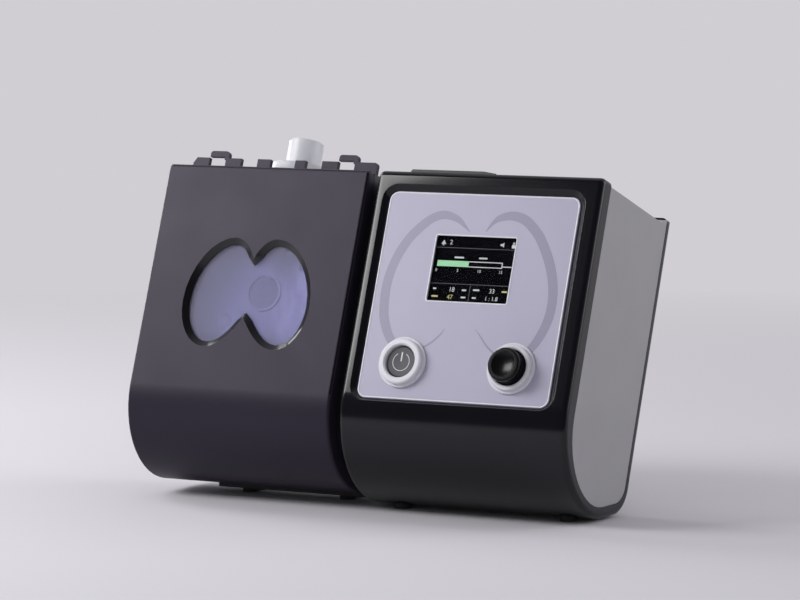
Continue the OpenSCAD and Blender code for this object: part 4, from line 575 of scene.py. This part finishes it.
# Left share, right share and middle height of the plain bars that stand for labels
READING_LABELS = ((0.035, 0.075, 0.80), (0.40, 0.455, 0.81), (0.54, 0.62, 0.80), (0.40, 0.46, 0.92),
                  (0.54, 0.59, 0.92))
LABEL_HALF = 0.012
WARM_LABELS = ((0.03, 0.11, 0.905, 0.93), (0.90, 0.965, 0.795, 0.82))
# Figures, share to the right, share downwards, height in millimetres and finish
READINGS = (("18", 0.235, 0.81, 3.9, glow_white), ("47", 0.225, 0.925, 3.9, glow_amber),
            ("33", 0.74, 0.81, 3.9, glow_white), ("1 : 1.8", 0.70, 0.925, 3.5, glow_white))
SCALE_START, SCALE_STEP, SCALE_T, SCALE_HEIGHT = 0.035, 0.27, 0.515, 2.6


def screen():
    """Dark field with a status line, a pressure gauge over its scale, and four readings in two rows."""
    def lit(name, parts, finish):
        mesh_piece(name, parts, finish, "machine", False)

    u0, u1, v0, v1 = SCREEN
    past = 0.6
    lit("screen_field", [flat_shape(rounded_loop(u0 - past, u1 + past, v0 - past, v1 + past, past, 6), FIELD_W)],
        screen_dark)
    lit("screen_lines", [screen_bar(*bar) for bar in RULES], glow_dim)
    lit("gauge_fill", [screen_bar(*GAUGE_FILL)], glow_green)
    gauge = [screen_bar(*bar) for bar in GAUGE] + [screen_bar(*bar, r=0.4) for bar in GAUGE_LABELS]
    bell = [screen_shape(BELL), screen_bar(*BELL_TONGUE)]
    horn = [screen_shape(HORN), screen_bar(*HORN_BACK)]
    lock = [screen_bar(*LOCK_BODY, r=0.2)] + [screen_bar(*bar) for bar in LOCK_SHACKLE]
    labels = [screen_bar(s0, s1, t - LABEL_HALF, t + LABEL_HALF, 0.3) for s0, s1, t in READING_LABELS]
    lit("screen_marks", gauge + bell + horn + lock + labels, glow_white)
    lit("screen_warm_marks", [screen_bar(*bar, r=0.3) for bar in WARM_LABELS], glow_amber)
    for k, text in enumerate(("0", "5", "10", "15")):
        figures("scale_number_%d" % k, text, SCALE_START + k * SCALE_STEP, SCALE_T, SCALE_HEIGHT, glow_white, "CENTER")
    figures("status_number", "2", 0.15, 0.085, 4.0, glow_white)
    for k, (text, s, t, height, finish) in enumerate(READINGS, 1):
        figures("reading_%d" % k, text, s, t, height, finish)


def screen_trim():
    """Pale frame around the screen opening, with a rounded section, closed onto the panel."""
    u0, u1, v0, v1 = SCREEN
    corner = 0.9
    section = ((0.0, -0.15), (0.08, 0.12), (0.2, 0.3), (0.45, 0.33), (0.7, 0.3), (0.85, 0.16), (0.95, -0.05))
    loops = []
    for s, rise in section:
        outline = rounded_loop(u0 - s, u1 + s, v0 - s, v1 + s, corner + s, 8)
        loops.append(leaning(outline[:, 0], PANEL_FACE - rise, outline[:, 1]))
    return grid(np.stack(loops), wrap_columns=True)


screen()
mesh_piece("screen_trim", [screen_trim()], edge_silver, "machine")


# Power button


def power_mark():
    """Open ring with a bar through its gap: a strip on an arc, and a rounded bar, on the button's face."""
    radius, half, gap = 5.5, 0.45, math.radians(30)
    bar_foot, bar_top, rise = 0.2, 7.2, 0.1
    dish = BUTTON_FACE + 0.2
    a = np.linspace(math.pi / 2 + gap, math.pi * 2.5 - gap, 72)
    across = np.linspace(-1, 1, 5)[:, None]
    r = radius + half * across
    lift = rise * np.sqrt(1 - np.clip(np.abs(across), 0, 0.98) ** 2)
    arc = grid(leaning(BUTTON_X + r * np.cos(a), dish - lift, CONTROL_V + r * np.sin(a)))
    bar = raised_bar(BUTTON_X - half, BUTTON_X + half, CONTROL_V + bar_foot, CONTROL_V + bar_top, dish - rise, 0.4)
    return [arc, bar]


mesh_piece("power_mark", power_mark(), mark_white, "power_button")


# Studio and camera

BACKDROP = (0.635, 0.617, 0.652)
FLOOR_SHADE = 0.94
FILL = 0.47
FILL_TINT = (0.95, 0.95, 1.0)
# What gloss sees in front of the object, as a share of the backdrop, and where it gives way to the backdrop
FRONT_ROOM = 0.1
FRONT_ROOM_FADE = (-0.35, 0.1)
# Name, place, target, width and height in metres, power, and roll in degrees
LIGHTS = (("key", (-0.989, -0.784, 0.874), (0, 0, 0.12), (0.8, 0.55), 15, 24),
          ("left_rear", (-1.62, 0.4, 0.9), (-0.08, 0, 0.13), (0.5, 1.4), 17, 0),
          ("right", (1.7, 0.9, 0.9), (0, 0, 0.1), (1.4, 1.4), 14, 0))
CAMERA_PLACE = (1.19252, -2.1619, 0.34719)
CAMERA_TURN = math.radians(28.9315)
CAMERA_RISE = math.radians(5.1904)
CAMERA_LENS = 183.621
CAMERA_SHIFT = 0.00875


def studio_floor():
    """Pale disc under the object whose own colour gives way to the backdrop's as it gets further away."""
    reach, near, far, sides = 9.0, 0.55, 1.5, 96
    a = np.linspace(0, 2 * math.pi, sides, endpoint=False)
    mesh = bpy.data.meshes.new("floor")
    mesh.from_pydata(np.stack([reach * np.cos(a), reach * np.sin(a), 0 * a], -1).tolist(), [], [list(range(sides))])
    floor = bpy.data.objects.new("floor", mesh)
    bpy.context.scene.collection.objects.link(floor)
    material = bpy.data.materials.new("studio_floor")
    material.use_nodes = True
    tree = material.node_tree
    surface = tree.nodes["Principled BSDF"]
    surface.inputs["Base Color"].default_value = (*(FLOOR_SHADE * np.array(BACKDROP)), 1)
    surface.inputs["Roughness"].default_value = 0.85
    surface.inputs["Specular IOR Level"].default_value = 0.1
    place = node_in(tree, "ShaderNodeTexCoord")
    distance = node_in(tree, "ShaderNodeVectorMath", operation="LENGTH")
    tree.links.new(place.outputs["Object"], distance.inputs[0])
    backdrop = node_in(tree, "ShaderNodeEmission", Color=(*BACKDROP, 1), Strength=1.0)
    fade = node_in(tree, "ShaderNodeMixShader")
    tree.links.new(spread(tree, distance.outputs["Value"], 0, 1, near, far), fade.inputs[0])
    tree.links.new(surface.outputs[0], fade.inputs[1])
    tree.links.new(backdrop.outputs[0], fade.inputs[2])
    tree.links.new(fade.outputs[0], tree.nodes["Material Output"].inputs["Surface"])
    mesh.materials.append(material)


def soft_light(name, place, target, size, power, roll):
    """Area light of the given width and height in metres, turned to its target and rolled by some degrees."""
    data = bpy.data.lights.new(name, "AREA")
    data.shape = "RECTANGLE"
    data.size, data.size_y = size
    data.energy = power
    lamp = bpy.data.objects.new(name, data)
    bpy.context.scene.collection.objects.link(lamp)
    lamp.location = place
    facing = (Vector(target) - Vector(place)).to_track_quat("-Z", "Y")
    lamp.rotation_euler = (facing @ Quaternion((0, 0, 1), math.radians(roll))).to_euler()


def surroundings():
    """Plain fill for the object, the backdrop's own grey wherever it is seen, and a dimmer room in front for gloss."""
    world = bpy.data.worlds.new("studio")
    bpy.context.scene.world = world
    world.use_nodes = True
    tree = world.node_tree
    tree.nodes.clear()
    path = node_in(tree, "ShaderNodeLightPath")
    fill = node_in(tree, "ShaderNodeBackground", Color=(*FILL_TINT, 1), Strength=FILL)
    seen = node_in(tree, "ShaderNodeBackground", Color=(*BACKDROP, 1), Strength=1.0)
    place = node_in(tree, "ShaderNodeTexCoord")
    axes = node_in(tree, "ShaderNodeSeparateXYZ")
    tree.links.new(place.outputs["Generated"], axes.inputs[0])
    behind = spread(tree, axes.outputs["Y"], FRONT_ROOM, 1.0, *FRONT_ROOM_FADE)
    room = tinted(tree, behind, (0, 0, 0), BACKDROP)
    reflected = node_in(tree, "ShaderNodeBackground", Strength=1.0)
    tree.links.new(room, reflected.inputs["Color"])
    lit = fill.outputs[0]
    for ray, light in (("Is Glossy Ray", reflected), ("Is Transmission Ray", seen), ("Is Camera Ray", seen)):
        mix = node_in(tree, "ShaderNodeMixShader")
        tree.links.new(path.outputs[ray], mix.inputs[0])
        tree.links.new(lit, mix.inputs[1])
        tree.links.new(light.outputs[0], mix.inputs[2])
        lit = mix.outputs[0]
    out = node_in(tree, "ShaderNodeOutputWorld")
    tree.links.new(lit, out.inputs["Surface"])


def camera():
    """Camera at the photograph's distance and angle, with its frame shifted a little to the side."""
    data = bpy.data.cameras.new("camera")
    data.sensor_width = 36
    data.lens = CAMERA_LENS
    data.shift_x = CAMERA_SHIFT
    view = bpy.data.objects.new("camera", data)
    bpy.context.scene.collection.objects.link(view)
    view.location = CAMERA_PLACE
    level = math.cos(CAMERA_RISE)
    ahead = Vector((-math.sin(CAMERA_TURN) * level, math.cos(CAMERA_TURN) * level, -math.sin(CAMERA_RISE)))
    view.rotation_euler = ahead.to_track_quat("-Z", "Y").to_euler()
    bpy.context.scene.camera = view


studio_floor()
surroundings()
for light in LIGHTS:
    soft_light(*light)
camera()
bpy.context.scene.view_settings.view_transform = "Standard"
